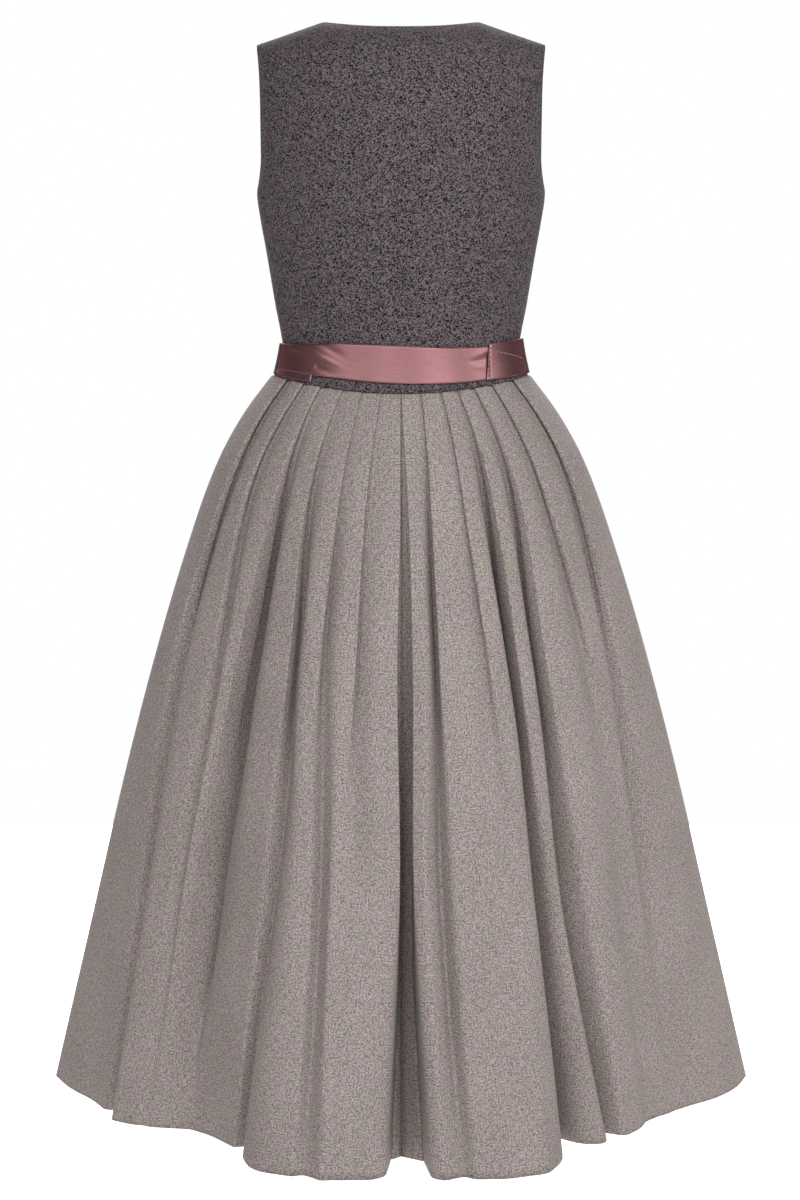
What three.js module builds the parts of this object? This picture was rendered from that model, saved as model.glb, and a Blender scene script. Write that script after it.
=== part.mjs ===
// A sleeveless dirndl in a filled-out, worn pose with no wearer: a wool bodice that buttons at the
// front, a pleated wool skirt, and a satin ribbon wound round the waist.
// Millimetres, +Z up. The wearer faces -Y, so their left is +X and the back of the dress is +Y.
// Height 0 is the middle of the shoulder straps, where the wearer's shoulders carry the dress.
// Angles are degrees round the body: 0 at the centre back (or centre front), 90 at the side seam.
import * as THREE from 'three';

// ---- driving sizes ---------------------------------------------------------------------------
const CLOTH = 1.6;            // wool with its lining, measured level
const RIBBON = 1.0;           // doubled satin ribbon
const SEAM = 0.3;             // gap left at a seam, and between pieces that touch
const WAIST_SEAM = -360;      // height of the waist seam at the side
const BACK_DIP = 18;          // how far the waist seam drops at the centre back
const FRONT_DIP = 8;          // and at the centre front
const HEM = -1108;            // height of the skirt's hem
const UNDERARM = -176;        // height of the foot of the armholes
const NECK_POINT = { x: 80, z: -1.5 };      // where neckline and shoulder seam meet
const SHOULDER_TIP = { x: 147, z: -24 };    // outer end of the shoulder seam
const NECK_BACK = 58;         // how far back the neckline reaches at its centre
const FRONT_NECK = -162;      // height of the front neckline's lowest point
const NECK_CURVE = 2.4;       // how square the back neckline is in plan; 2 is an ellipse

const COLOURS = {
  bodice: '#57504e',
  skirt: '#958b86',
  ribbon: '#7d535a',
  button: '#6b6a68',
};

// ---- small helpers ---------------------------------------------------------------------------
const rad = (degrees) => degrees * Math.PI / 180;
const lerp = (a, b, share) => a + (b - a) * share;
const clamp01 = (value) => Math.min(1, Math.max(0, value));
const smooth = (value) => {
  const share = clamp01(value);
  return share * share * (3 - 2 * share);
};

// Smooth curve through the rows of a table: value of one column where `key` is `at`.
function along(rows, key, column, at) {
  const rising = rows[rows.length - 1][key] > rows[0][key];
  const past = (row) => (rising ? row[key] >= at : row[key] <= at);
  let next = rows.findIndex(past);
  if (next < 0) next = rows.length - 1;
  next = Math.max(1, next);
  const slope = (i) => {
    const before = rows[Math.max(0, i - 1)];
    const after = rows[Math.min(rows.length - 1, i + 1)];
    return (after[column] - before[column]) / (after[key] - before[key]);
  };
  const low = rows[next - 1];
  const high = rows[next];
  const span = high[key] - low[key];
  const share = clamp01((at - low[key]) / span);
  const square = share * share;
  const cube = square * share;
  return low[column] * (2 * cube - 3 * square + 1)
    + slope(next - 1) * span * (cube - 2 * square + share)
    + high[column] * (3 * square - 2 * cube)
    + slope(next) * span * (cube - square);
}

// Closed wall between two grids of points, [row][column], with all four edges closed.
function closedWall(outer, inner) {
  const rows = outer.length;
  const columns = outer[0].length;
  const points = [...outer.flat(), ...inner.flat()];
  const at = (side, row, column) => side * rows * columns + row * columns + column;
  const faces = [];
  const quad = (a, b, c, d) => faces.push([a, b, c], [a, c, d]);
  for (let r = 0; r < rows - 1; r += 1) {
    for (let c = 0; c < columns - 1; c += 1) {
      quad(at(0, r, c), at(0, r + 1, c), at(0, r + 1, c + 1), at(0, r, c + 1));
      quad(at(1, r, c), at(1, r, c + 1), at(1, r + 1, c + 1), at(1, r + 1, c));
    }
    const last = columns - 1;
    quad(at(0, r, 0), at(1, r, 0), at(1, r + 1, 0), at(0, r + 1, 0));
    quad(at(0, r, last), at(0, r + 1, last), at(1, r + 1, last), at(1, r, last));
  }
  for (let c = 0; c < columns - 1; c += 1) {
    const last = rows - 1;
    quad(at(0, 0, c), at(0, 0, c + 1), at(1, 0, c + 1), at(1, 0, c));
    quad(at(0, last, c), at(1, last, c), at(1, last, c + 1), at(0, last, c + 1));
  }
  const volume = faces.reduce((sum, [a, b, c]) => (
    sum + points[a].dot(new THREE.Vector3().crossVectors(points[b], points[c]))), 0);
  const outward = volume > 0 ? faces : faces.map(([a, b, c]) => [a, c, b]);
  const geometry = new THREE.BufferGeometry();
  geometry.setAttribute('position', new THREE.Float32BufferAttribute(
    points.flatMap((p) => [p.x, p.y, p.z]), 3));
  geometry.setIndex(outward.flat());
  geometry.computeVertexNormals();
  return geometry;
}

function named(name, geometry, colour, roughness, metalness = 0) {
  const material = new THREE.MeshStandardMaterial({ color: colour, roughness, metalness });
  const mesh = new THREE.Mesh(geometry, material);
  mesh.name = name;
  return mesh;
}

// The waist seam's drop below its height at the side, for an angle from the centre.
const seamDip = (angle, back) => (back ? BACK_DIP : FRONT_DIP) * Math.cos(rad(angle)) ** 2;

// ---- skirt -----------------------------------------------------------------------------------
// Rings of the skirt: drop below the waist seam, half width at the side, depth at back and front.
const SKIRT_RINGS = [
  { drop: 0, side: 134, back: 96, front: 94 },
  { drop: 13, side: 144, back: 105, front: 102 },
  { drop: 28, side: 155.5, back: 115, front: 111 },
  { drop: 50, side: 170, back: 128, front: 124 },
  { drop: 80, side: 186.5, back: 143, front: 138 },
  { drop: 120, side: 203.5, back: 160, front: 154 },
  { drop: 175, side: 222.5, back: 178, front: 171 },
  { drop: 245, side: 244.5, back: 197, front: 189 },
  { drop: 335, side: 270, back: 220, front: 211 },
  { drop: 440, side: 297, back: 244, front: 234 },
  { drop: 550, side: 323, back: 267, front: 256 },
  { drop: 655, side: 348, back: 287, front: 276 },
  { drop: 748, side: 370, back: 305, front: 293 },
];
const SKIRT_LENGTH = WAIST_SEAM - HEM;

// Where the angles of a fold are given, as shares of the way from waist seam to hem.
const FOLD_STATIONS = ['waist', 'hip', 'thigh', 'knee', 'hem'];
const STATION_SHARES = { waist: 0, hip: 0.15, thigh: 0.35, knee: 0.65, hem: 1 };

const NEVER = 9;               // a share far past the hem: the pleat keeps its full depth

// One row for each pleat, from the centre out: its edge's angle at the five stations, where it
// opens, where it has died out (shares of the length), and its depth once open.
const FOLDS = {
  back_left: [
    { waist: 0, hip: 0.2, thigh: 0.9, knee: 0.3, hem: 2.1, opens: 0.6, fades: NEVER, deep: 50 },
    { waist: 9, hip: 10, thigh: 10, knee: 10, hem: 9, opens: 0.36, fades: 0.8, deep: 7 },
    { waist: 17.5, hip: 18, thigh: 17, knee: 14, hem: 14, opens: 0.3, fades: 1.2, deep: 7 },
    { waist: 27, hip: 28.5, thigh: 25, knee: 24, hem: 26, opens: 0.26, fades: 0.95, deep: 10 },
    { waist: 38.5, hip: 40, thigh: 40, knee: 42.5, hem: 45, opens: 0.4, fades: 1.25, deep: 18 },
    { waist: 49, hip: 52.5, thigh: 51.5, knee: 53, hem: 56, opens: 0.25, fades: 0.8, deep: 11 },
    { waist: 63, hip: 66, thigh: 71, knee: 67, hem: 65, opens: 0.22, fades: 1.3, deep: 16 },
  ],
  back_right: [
    { waist: 0.3, hip: 2, thigh: 2.6, knee: 2.35, hem: 4.2, opens: 0.6, fades: NEVER, deep: 50 },
    { waist: 9, hip: 8.5, thigh: 8.5, knee: 8.5, hem: 10, opens: 0.34, fades: 1.2, deep: 8 },
    { waist: 18, hip: 18, thigh: 19.5, knee: 20.5, hem: 21, opens: 0.3, fades: 0.75, deep: 7 },
    { waist: 26, hip: 27.5, thigh: 28, knee: 29.5, hem: 33, opens: 0.4, fades: 1.3, deep: 18 },
    { waist: 34.5, hip: 37, thigh: 36, knee: 38, hem: 43, opens: 0.38, fades: 1.25, deep: 15 },
    { waist: 45, hip: 48, thigh: 53, knee: 55, hem: 57, opens: 0.24, fades: 0.6, deep: 10 },
    { waist: 61, hip: 66, thigh: 66, knee: 66, hem: 67, opens: 0.24, fades: 0.85, deep: 16 },
  ],
  front_left: [
    { waist: 0, hip: 0, thigh: 0, knee: 0.8, hem: 3.8, opens: 0.6, fades: NEVER, deep: 46 },
    { waist: 9, hip: 9.5, thigh: 10, knee: 10, hem: 10, opens: 0.32, fades: 0.9, deep: 8 },
    { waist: 18, hip: 18.5, thigh: 19, knee: 20, hem: 22, opens: 0.38, fades: 1.2, deep: 13 },
    { waist: 27.5, hip: 28.5, thigh: 29, knee: 30, hem: 31, opens: 0.28, fades: 0.8, deep: 8 },
    { waist: 38, hip: 40, thigh: 41, knee: 42, hem: 44, opens: 0.36, fades: 1.25, deep: 16 },
    { waist: 49, hip: 52, thigh: 53, knee: 54, hem: 55, opens: 0.26, fades: 0.75, deep: 9 },
    { waist: 62, hip: 65, thigh: 68, knee: 68, hem: 68, opens: 0.24, fades: 1.2, deep: 15 },
  ],
  front_right: [
    { waist: 0, hip: 0, thigh: 0, knee: 0.6, hem: 3.2, opens: 0.6, fades: NEVER, deep: 46 },
    { waist: 9, hip: 9, thigh: 9, knee: 9.5, hem: 10, opens: 0.34, fades: 1.1, deep: 8 },
    { waist: 18, hip: 18.5, thigh: 18, knee: 18, hem: 19, opens: 0.28, fades: 0.85, deep: 8 },
    { waist: 27.5, hip: 29, thigh: 30, knee: 31, hem: 33, opens: 0.38, fades: 1.25, deep: 15 },
    { waist: 38, hip: 39.5, thigh: 40, knee: 42, hem: 43, opens: 0.3, fades: 0.85, deep: 9 },
    { waist: 49, hip: 51.5, thigh: 53, knee: 55, hem: 57, opens: 0.3, fades: 1.2, deep: 14 },
    { waist: 62, hip: 65.5, thigh: 67, knee: 67, hem: 67, opens: 0.22, fades: 0.9, deep: 12 },
  ],
};

// Slow waves of the hem: how far the cloth stands out from the ring at the hem, by angle.
const HEM_WAVES = {
  back_left: [
    { angle: 0, out: -4 }, { angle: 8, out: 14 }, { angle: 15, out: 13 }, { angle: 23, out: 3 },
    { angle: 31, out: -46 }, { angle: 43, out: -70 }, { angle: 56, out: -34 },
    { angle: 72, out: -38 }, { angle: 83, out: -18 }, { angle: 90, out: 0 },
  ],
  back_right: [
    { angle: 0, out: -4 }, { angle: 8, out: 12 }, { angle: 20, out: 15 }, { angle: 24, out: 0 },
    { angle: 31, out: -48 }, { angle: 40, out: -38 }, { angle: 54, out: -60 },
    { angle: 68, out: -48 }, { angle: 81, out: -17 }, { angle: 90, out: 0 },
  ],
  front_left: [
    { angle: 0, out: -4 }, { angle: 9, out: 12 }, { angle: 17, out: 10 }, { angle: 27, out: -30 },
    { angle: 37, out: -12 }, { angle: 50, out: -48 }, { angle: 66, out: -36 },
    { angle: 80, out: -12 }, { angle: 90, out: 0 },
  ],
  front_right: [
    { angle: 0, out: -4 }, { angle: 10, out: 14 }, { angle: 22, out: 8 }, { angle: 34, out: -40 },
    { angle: 47, out: -24 }, { angle: 61, out: -46 }, { angle: 76, out: -22 }, { angle: 90, out: 0 },
  ],
};
const WAVE_GROWTH = 1.4;       // the waves swell with this power of the way down

const PLEAT_STACK = 2.4;       // level spacing of the three layers of a closed pleat
const PLEAT_LAP = 0.5;         // a closed pleat's underlay, as a share of the way to the next
const WIDEST_LAPPED = 30;      // a wide panel's underlay is no wider than this panel's
const PLEAT_END = 1;           // how far a pleat's inner fold reaches past its underlay
const PLEAT_DEEPENS = 0.35;    // share of the length by which a pleat has its full depth
const FADE_RUN = 0.35;         // share of the length over which a pleat dies out
const PANEL_PUFF = 3.5;        // how far a panel rounds out between two pleats
const OPEN_RUN = 0.3;          // share of the length over which a pleat opens
const FULL_SPREAD_ROOM = 45;   // room before a pleat that lets it open to its full width
const CENTRE_SPREAD = 0.35;    // the centre pleat opens to this share of that width
const CENTRE_TIP = 1.15;       // half the distance between the two edges of the centre pleat
const LATE_OPENING = 0.5;      // a pleat that opens below this share deepens more slowly
const LATE_DEEPENS = 0.86;      // share of the length by which it has its full depth
const PUFF_RUN = 0.12;         // share of the length over which the panels round out
const PUFF_AT = 0.58;          // a panel is roundest at this share of its width
const PUFF_AT_TOP = 0.78;      // but further along at the waist, clear of the underlay
const PUFF_MOVES = 0.45;       // share of the length by which it has moved to the middle
const SIDE_PANEL_POINTS = [0.3, 0.65];    // where the panel next to the side seam rounds out
const MITRE_LIMIT = 2.2;       // longest mitre at a fold, in half thicknesses

// A pleat's section from the panel before it to its own panel: how far each point lies beyond the
// pleat's edge, and how deep as a share of the pleat's depth, when closed and when open.
// lap counts the underlay while the pleat is closed.
const PLEAT_SECTION = [
  { closed: -2, lap: 0, open: -20, closedDeep: 1, openDeep: 0.3 },
  { closed: PLEAT_END, lap: 1, open: -10, closedDeep: 1, openDeep: 0.9 },
  { closed: PLEAT_END, lap: 1, open: -5.5, closedDeep: 0.5, openDeep: 0.95 },
  { closed: 0, lap: 0, open: -1, closedDeep: 0.5, openDeep: 0.5 },
  { closed: 0, lap: 0, open: 4, closedDeep: 0, openDeep: 0 },
];

function foldAngle(fold, share) {
  const rows = FOLD_STATIONS.map((station) => (
    { share: STATION_SHARES[station], angle: fold[station] }));
  return along(rows, 'share', 'angle', share);
}

function foldDepth(fold, share) {
  const closed = 2 * PLEAT_STACK;
  const grown = smooth(share / (fold.opens > LATE_OPENING ? LATE_DEEPENS : PLEAT_DEEPENS));
  const faded = smooth((share - fold.fades + FADE_RUN) / FADE_RUN);
  return lerp(closed, fold.deep, grown) * (1 - faded);
}

// One ring of one quarter of the skirt, from the centre to the side seam, as the middle of the
// cloth in plan: x towards the side, y away from the body.
function skirtSection(quarter, ring, back) {
  const share = ring.drop / SKIRT_LENGTH;
  const side = ring.side;
  const depth = back ? ring.back : ring.front;
  const folds = FOLDS[quarter];
  const swell = share ** WAVE_GROWTH;
  const place = (angle, out, waveAngle = angle) => {
    const x = side * Math.sin(rad(angle));
    const y = depth * Math.cos(rad(angle));
    const wave = swell * along(HEM_WAVES[quarter], 'angle', 'out', waveAngle);
    const scale = 1 + (out + wave) / Math.hypot(x, y);
    return new THREE.Vector2(x * scale, y * scale);
  };
  const speed = (angle) => Math.hypot(side * Math.cos(rad(angle)), depth * Math.sin(rad(angle)));
  const degrees = (length, angle) => length / speed(angle) * 180 / Math.PI;
  const edges = folds.map((fold) => foldAngle(fold, share));
  edges[0] = Math.max(edges[0], degrees(CENTRE_TIP, 0));
  const puff = PANEL_PUFF * smooth(share / PUFF_RUN);
  const section = [];
  folds.forEach((fold, i) => {
    const edge = edges[i];
    const next = edges[i + 1] ?? 90;
    const room = (next - edge) / degrees(1, edge);
    const lap = PLEAT_LAP * Math.min(room, WIDEST_LAPPED) * clamp01(1 - share / fold.opens);
    const opened = smooth((share - fold.opens) / OPEN_RUN);
    const deep = foldDepth(fold, share);
    const before = i === 0 ? 0 : (edge - edges[i - 1]) / degrees(1, edge);
    const spread = i === 0 ? CENTRE_SPREAD : Math.min(1, before / FULL_SPREAD_ROOM);
    const points = PLEAT_SECTION.map((row) => {
      const across = lerp(row.closed + row.lap * lap, row.open * spread, opened);
      const angle = edge + degrees(across, edge);
      const out = -deep * lerp(row.closedDeep, row.openDeep, opened);
      return { angle, out, waveAngle: lerp(edge, angle, opened) };
    });
    if (i === 0) {
      // the centre pleat's floor starts at the seam
      points[0] = { angle: degrees(SEAM / 2, 0), out: -deep, waveAngle: 0 };
    }
    points.forEach((point) => section.push(place(point.angle, point.out, point.waveAngle)));
    const start = points[points.length - 1].angle;
    if (i < folds.length - 1) {
      const nextSpread = Math.min(1, room / FULL_SPREAD_ROOM);
      const nextOpened = smooth((share - folds[i + 1].opens) / OPEN_RUN);
      const foot = PLEAT_SECTION[0];
      const end = next + degrees(lerp(foot.closed, foot.open * nextSpread, nextOpened), next);
      const roundest = lerp(PUFF_AT_TOP, PUFF_AT, smooth(share / PUFF_MOVES));
      section.push(place(lerp(start, end, roundest), puff));
    } else {
      const end = 90 - degrees(SEAM / 2, 90);
      SIDE_PANEL_POINTS.forEach((at) => section.push(place(lerp(start, end, at), puff)));
      section.push(place(end, 0, 90));
    }
  });
  return section;
}

// Points half the cloth's thickness to either side of a section's line, with mitred corners.
// The first point's edge stays in the centre plane and the last one's in the side seam's plane.
function offsetSection(section, distance) {
  return section.map((point, i) => {
    const before = section[Math.max(0, i - 1)];
    const after = section[Math.min(section.length - 1, i + 1)];
    const turn = (from, to) => {
      const step = new THREE.Vector2().subVectors(to, from).normalize();
      return new THREE.Vector2(-step.y, step.x);
    };
    let normal;
    if (i === 0) {
      normal = new THREE.Vector2(0, 1);
    } else if (i === section.length - 1) {
      normal = new THREE.Vector2(1, 0);
    } else {
      const first = turn(before, point);
      const second = turn(point, after);
      normal = first.clone().add(second);
      const mitre = Math.min(MITRE_LIMIT, 2 / Math.max(1e-6, normal.length()));
      normal.normalize().multiplyScalar(mitre);
    }
    return new THREE.Vector2(point.x + normal.x * distance, point.y + normal.y * distance);
  });
}

function skirtPanel(name, quarter) {
  const back = quarter.startsWith('back');
  const towardsLeft = quarter.endsWith('left') ? 1 : -1;
  const towardsBack = back ? 1 : -1;
  const grid = (distance) => SKIRT_RINGS.map((ring) => (
    offsetSection(skirtSection(quarter, ring, back), distance).map((point) => {
      const depth = back ? ring.back : ring.front;
      const angle = Math.atan2(point.x / ring.side, point.y / depth) * 180 / Math.PI;
      const left = 1 - ring.drop / SKIRT_LENGTH;
      const height = WAIST_SEAM - SEAM / 2 - ring.drop - seamDip(angle, back) * left;
      return new THREE.Vector3(point.x * towardsLeft, point.y * towardsBack, height);
    })));
  const geometry = closedWall(grid(CLOTH / 2), grid(-CLOTH / 2));
  return named(name, geometry, COLOURS.skirt, 0.92);
}

// ---- bodice ----------------------------------------------------------------------------------
// Rings of the bodice at the middle of its cloth: height at the side seam, half width, depth at
// back and front, and how far round the back and the front reach before the armhole cuts them.
const BODICE_RINGS = [
  { height: -360, side: 131.5, back: 93.5, front: 91, backEnd: 90, frontEnd: 90 },
  { height: -347, side: 125, back: 90, front: 88.5, backEnd: 90, frontEnd: 90 },
  { height: -333, side: 121.9, back: 88.5, front: 87.5, backEnd: 90, frontEnd: 90 },
  { height: -316, side: 124, back: 89.5, front: 90, backEnd: 90, frontEnd: 90 },
  { height: -290, side: 129, back: 94, front: 98, backEnd: 90, frontEnd: 90 },
  { height: -260, side: 134, back: 100, front: 108, backEnd: 90, frontEnd: 90 },
  { height: -230, side: 139, back: 105, front: 116, backEnd: 90, frontEnd: 90 },
  { height: -203, side: 143.8, back: 108.5, front: 119, backEnd: 90, frontEnd: 90 },
  { height: -176, side: 147.7, back: 110.5, front: 118, backEnd: 90, frontEnd: 90 },
  { height: -162, side: 146.5, back: 111, front: 115, backEnd: 81.5, frontEnd: 80 },
  { height: -146, side: 147, back: 111, front: 110, backEnd: 75.5, frontEnd: 73 },
  { height: -124, side: 149.5, back: 110.5, front: 103, backEnd: 71.5, frontEnd: 68 },
  { height: -100, side: 151, back: 108, front: 96, backEnd: 70, frontEnd: 65 },
];
const BLADE_RING = BODICE_RINGS[BODICE_RINGS.length - 1];
const YOKE_ROWS = 6;           // rows from the shoulder blades over the shoulders
const YOKE_RISE = 0.76;        // the yoke's handle at the blades, as a share of its height
const YOKE_LEAD = 0.62;        // its handle at the shoulder seam, as a share of its depth
const YOKE_SETTLE = 6;         // and how far that handle drops
const HALVINGS = 30;           // steps in finding where a column meets the neckline
const BUST = { x: 70, height: -208, out: 13, wide: 44, tall: 50 };
const LAP_HALF = 9;            // each front runs this far past the centre front
const LAP_STEP = 1.35;         // and stands this far out or in there
const LAP_RUN = 22;            // width over which it steps

// How far the fronts' lap stands out of the bodice's ring, by the distance from the centre front.
const lapStepAt = (x) => LAP_STEP * (1 - smooth((Math.abs(x) - LAP_HALF) / LAP_RUN));

// Half width and depth of the bodice's ring at a height, before the seam's dip.
const ringAt = (height) => ({
  side: along(BODICE_RINGS, 'height', 'side', height),
  back: along(BODICE_RINGS, 'height', 'back', height),
  front: along(BODICE_RINGS, 'height', 'front', height),
});
function bustOut(x, height) {
  const aside = (Math.abs(x) - BUST.x) / BUST.wide;
  const above = (height - BUST.height) / BUST.tall;
  return BUST.out * Math.exp(-(aside ** 2) - above ** 2);
}

// Share of the waist seam's dip that a ring of the bodice still has.
const dipShare = (height) => smooth((UNDERARM - height) / (UNDERARM - WAIST_SEAM));

// Middle of the bodice's cloth at a signed angle (positive to the left), for the back or front.
function bodicePoint(angle, ringHeight, back) {
  const ring = ringAt(ringHeight);
  const x = ring.side * Math.sin(rad(angle));
  const height = ringHeight - seamDip(angle, back) * dipShare(ringHeight);
  const cosine = Math.cos(rad(angle));
  const bust = bustOut(x, ringHeight) * smooth(cosine * 2);
  const y = back ? ring.back * cosine : -ring.front * cosine - bust;
  return new THREE.Vector3(x, y, height);
}

// Cloth wall over a grid of middle points. level and upright name the rows and columns whose
// edges lie in a level plane (waist seam) or in the plane y = constant (side and shoulder seams).
function clothOver(middle, options = {}) {
  const rows = middle.length;
  const columns = middle[0].length;
  const step = (grid, r0, c0, r1, c1) => new THREE.Vector3().subVectors(grid[r1][c1], grid[r0][c0]);
  const normals = middle.map((line, r) => line.map((point, c) => {
    const up = step(middle, Math.max(0, r - 1), c, Math.min(rows - 1, r + 1), c);
    const across = step(middle, r, Math.max(0, c - 1), r, Math.min(columns - 1, c + 1));
    const normal = new THREE.Vector3().crossVectors(across, up).normalize();
    if (options.facing && normal.dot(options.facing(point)) < 0) normal.negate();
    if (r === 0 && options.levelFoot) normal.setZ(0).normalize();
    if (options.seamHere?.(r, c)) normal.setY(0).normalize();
    return normal;
  }));
  const grid = (distance) => middle.map((line, r) => line.map((point, c) => (
    point.clone().addScaledVector(normals[r][c], distance))));
  const half = (options.thick ?? CLOTH) / 2;
  return closedWall(grid(half), grid(-half));
}

// Roughly which way is out of the body at a point: level, or upwards too on top of the shoulders.
const SHOULDER_TOPS = { above: -60, upwards: 90 };
const outOfBody = (point) => (
  new THREE.Vector3(point.x, point.y, point.z > SHOULDER_TOPS.above ? SHOULDER_TOPS.upwards : 0));

// Cubic curve between two points with a handle at each.
function curve(start, startHandle, endHandle, end, share) {
  const path = new THREE.CubicBezierCurve3(start, startHandle, endHandle, end);
  return path.getPoint(share);
}

// How far behind the shoulder seam the back neckline lies, by distance from the centre.
function neckBehind(x) {
  const share = clamp01(Math.abs(x) / NECK_POINT.x);
  return Math.max(NECK_BACK * Math.sqrt(1 - share ** NECK_CURVE), SEAM / 2);
}

// The line over the shoulders in the plane of the shoulder seam, running on level over the neck.
function shoulderTop(x) {
  const out = clamp01((Math.abs(x) - NECK_POINT.x) / (SHOULDER_TIP.x - NECK_POINT.x));
  return new THREE.Vector3(x, SEAM / 2, lerp(NECK_POINT.z, SHOULDER_TIP.z, out));
}

// One column of the yoke: up from the shoulder blade and over, as far as the neckline or the seam.
function yokeColumn(blade, x) {
  const end = shoulderTop(x);
  const rise = blade.clone().add(new THREE.Vector3(0, 0, YOKE_RISE * (end.z - blade.z)));
  const lead = end.clone().add(new THREE.Vector3(0, YOKE_LEAD * blade.y, -YOKE_SETTLE));
  const stop = neckBehind(x);
  let low = 0;
  let high = 1;
  for (let i = 0; i < HALVINGS; i += 1) {
    const middle = (low + high) / 2;
    if (curve(blade, rise, lead, end, middle).y > stop) low = middle;
    else high = middle;
  }
  const reach = Math.abs(x) < NECK_POINT.x ? high : 1;
  const column = [];
  for (let r = 1; r <= YOKE_ROWS; r += 1) {
    column.push(curve(blade, rise, lead, end, reach * r / YOKE_ROWS));
  }
  return column;
}

const BACK_NECK_COLUMNS = 7;    // columns from the centre back to the neck point
const SHOULDER_COLUMNS = 5;     // columns along one shoulder seam
const EVEN_COLUMNS = 0.25;      // how far the back's columns are evened out towards the side

function bodiceBack() {
  const half = [];
  for (let i = 0; i <= BACK_NECK_COLUMNS; i += 1) half.push(NECK_POINT.x * i / BACK_NECK_COLUMNS);
  for (let i = 1; i <= SHOULDER_COLUMNS; i += 1) {
    half.push(lerp(NECK_POINT.x, SHOULDER_TIP.x, i / SHOULDER_COLUMNS));
  }
  const tops = [...half.slice(1).reverse().map((x) => -x), ...half];
  const lower = BODICE_RINGS.map((ring, r) => tops.map((x) => {
    const reach = ring.backEnd === 90 ? 90 - SEAM / 2 / ring.back * 180 / Math.PI : ring.backEnd;
    const lineUp = Math.asin(Math.abs(x) / SHOULDER_TIP.x) / (Math.PI / 2);
    const angle = Math.sign(x) * reach * lerp(lineUp, Math.abs(x) / SHOULDER_TIP.x, EVEN_COLUMNS);
    const point = bodicePoint(angle, ring.height, true);
    if (r === 0) point.z += SEAM / 2;
    return point;
  }));
  const blade = lower[lower.length - 1];
  const columns = tops.map((x, c) => yokeColumn(blade[c], x));
  const yoke = Array.from({ length: YOKE_ROWS }, (_, r) => columns.map((column) => column[r]));
  const middle = [...lower, ...yoke];
  const seamHere = (r, c) => {
    const atEnd = c === 0 || c === tops.length - 1;
    const atSide = atEnd && BODICE_RINGS[r]?.backEnd === 90;
    const atShoulder = r === middle.length - 1 && Math.abs(tops[c]) >= NECK_POINT.x;
    return atSide || atShoulder;
  };
  return named('bodice_back', clothOver(middle, { facing: outOfBody, levelFoot: true, seamHere }),
    COLOURS.bodice, 0.95);
}

// The front neckline: how far out it lies at each height above its lowest point.
const NECKLINE = [
  { height: -162, out: 0 },
  { height: -146, out: 34 },
  { height: -124, out: 50 },
  { height: -100, out: 60 },
];
const FRONT_COLUMNS = 12;
const STRAP_RISE = new THREE.Vector3(0, 0, 40);      // the strap's handle above the bust
const STRAP_LEAD = new THREE.Vector3(0, -30, -5);    // and at the shoulder seam
function bodiceFront(name, towardsLeft) {
  const lapOut = towardsLeft ? -1 : 1;      // the right front lies over the left one
  const sign = towardsLeft ? 1 : -1;
  const lower = BODICE_RINGS.map((ring, r) => {
    const reach = ring.frontEnd === 90 ? 90 - SEAM / 2 / ring.front * 180 / Math.PI : ring.frontEnd;
    const neck = ring.height > FRONT_NECK ? along(NECKLINE, 'height', 'out', ring.height) : 0;
    const from = neck > 0 ? neck : -LAP_HALF;
    const start = Math.asin(from / ring.side) * 180 / Math.PI;
    const line = [];
    for (let c = 0; c <= FRONT_COLUMNS; c += 1) {
      const angle = lerp(start, reach, c / FRONT_COLUMNS);
      const point = bodicePoint(sign * angle, ring.height, false);
      const aside = Math.max(0, sign * point.x);
      if (neck <= LAP_HALF) point.y -= lapOut * lapStepAt(aside);
      if (r === 0) point.z += SEAM / 2;
      line.push(point);
    }
    return line;
  });
  const chest = lower[lower.length - 1];
  const strap = [];
  for (let r = 1; r <= YOKE_ROWS; r += 1) {
    strap.push(chest.map((point, c) => {
      const share = c / FRONT_COLUMNS;
      const x = sign * lerp(NECK_POINT.x, SHOULDER_TIP.x, share);
      const end = new THREE.Vector3(x, -SEAM / 2, lerp(NECK_POINT.z, SHOULDER_TIP.z, share));
      const rise = point.clone().add(STRAP_RISE);
      const lead = end.clone().add(STRAP_LEAD);
      return curve(point, rise, lead, end, r / YOKE_ROWS);
    }));
  }
  const middle = [...lower, ...strap];
  const seamHere = (r, c) => (c === FRONT_COLUMNS && BODICE_RINGS[r]?.frontEnd === 90)
    || r === middle.length - 1;
  return named(name, clothOver(middle, { facing: outOfBody, levelFoot: true, seamHere }),
    COLOURS.bodice, 0.95);
}

// ---- buttons ---------------------------------------------------------------------------------
const BUTTON = { radius: 6.5, thick: 2.8, shank: 0.7, count: 7, top: -178, foot: -306 };
const BUTTON_SIDES = 14;
const SLOPE_REACH = 5;         // the cloth's slope at a button is taken this far above and below
function buttons() {
  const { radius, thick } = BUTTON;
  const profile = [
    new THREE.Vector2(0, 0),
    new THREE.Vector2(radius * 0.92, 0),
    new THREE.Vector2(radius, thick * 0.45),
    new THREE.Vector2(radius * 0.86, thick * 0.85),
    new THREE.Vector2(0, thick),
  ];
  return Array.from({ length: BUTTON.count }, (_, i) => {
    const height = lerp(BUTTON.top, BUTTON.foot, i / (BUTTON.count - 1));
    const below = bodicePoint(0, height - SLOPE_REACH, false);
    const above = bodicePoint(0, height + SLOPE_REACH, false);
    const centre = bodicePoint(0, height, false);
    const slope = new THREE.Vector3().subVectors(above, below).normalize();
    const outward = new THREE.Vector3(0, -slope.z, slope.y);
    const turned = new THREE.LatheGeometry(profile, BUTTON_SIDES);
    const button = named(`button_${i + 1}`, turned, COLOURS.button, 0.4, 0.3);
    button.quaternion.setFromUnitVectors(new THREE.Vector3(0, 1, 0), outward);
    button.position.copy(centre).addScaledVector(outward, LAP_STEP + CLOTH / 2 + BUTTON.shank);
    return button;
  });
}

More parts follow.
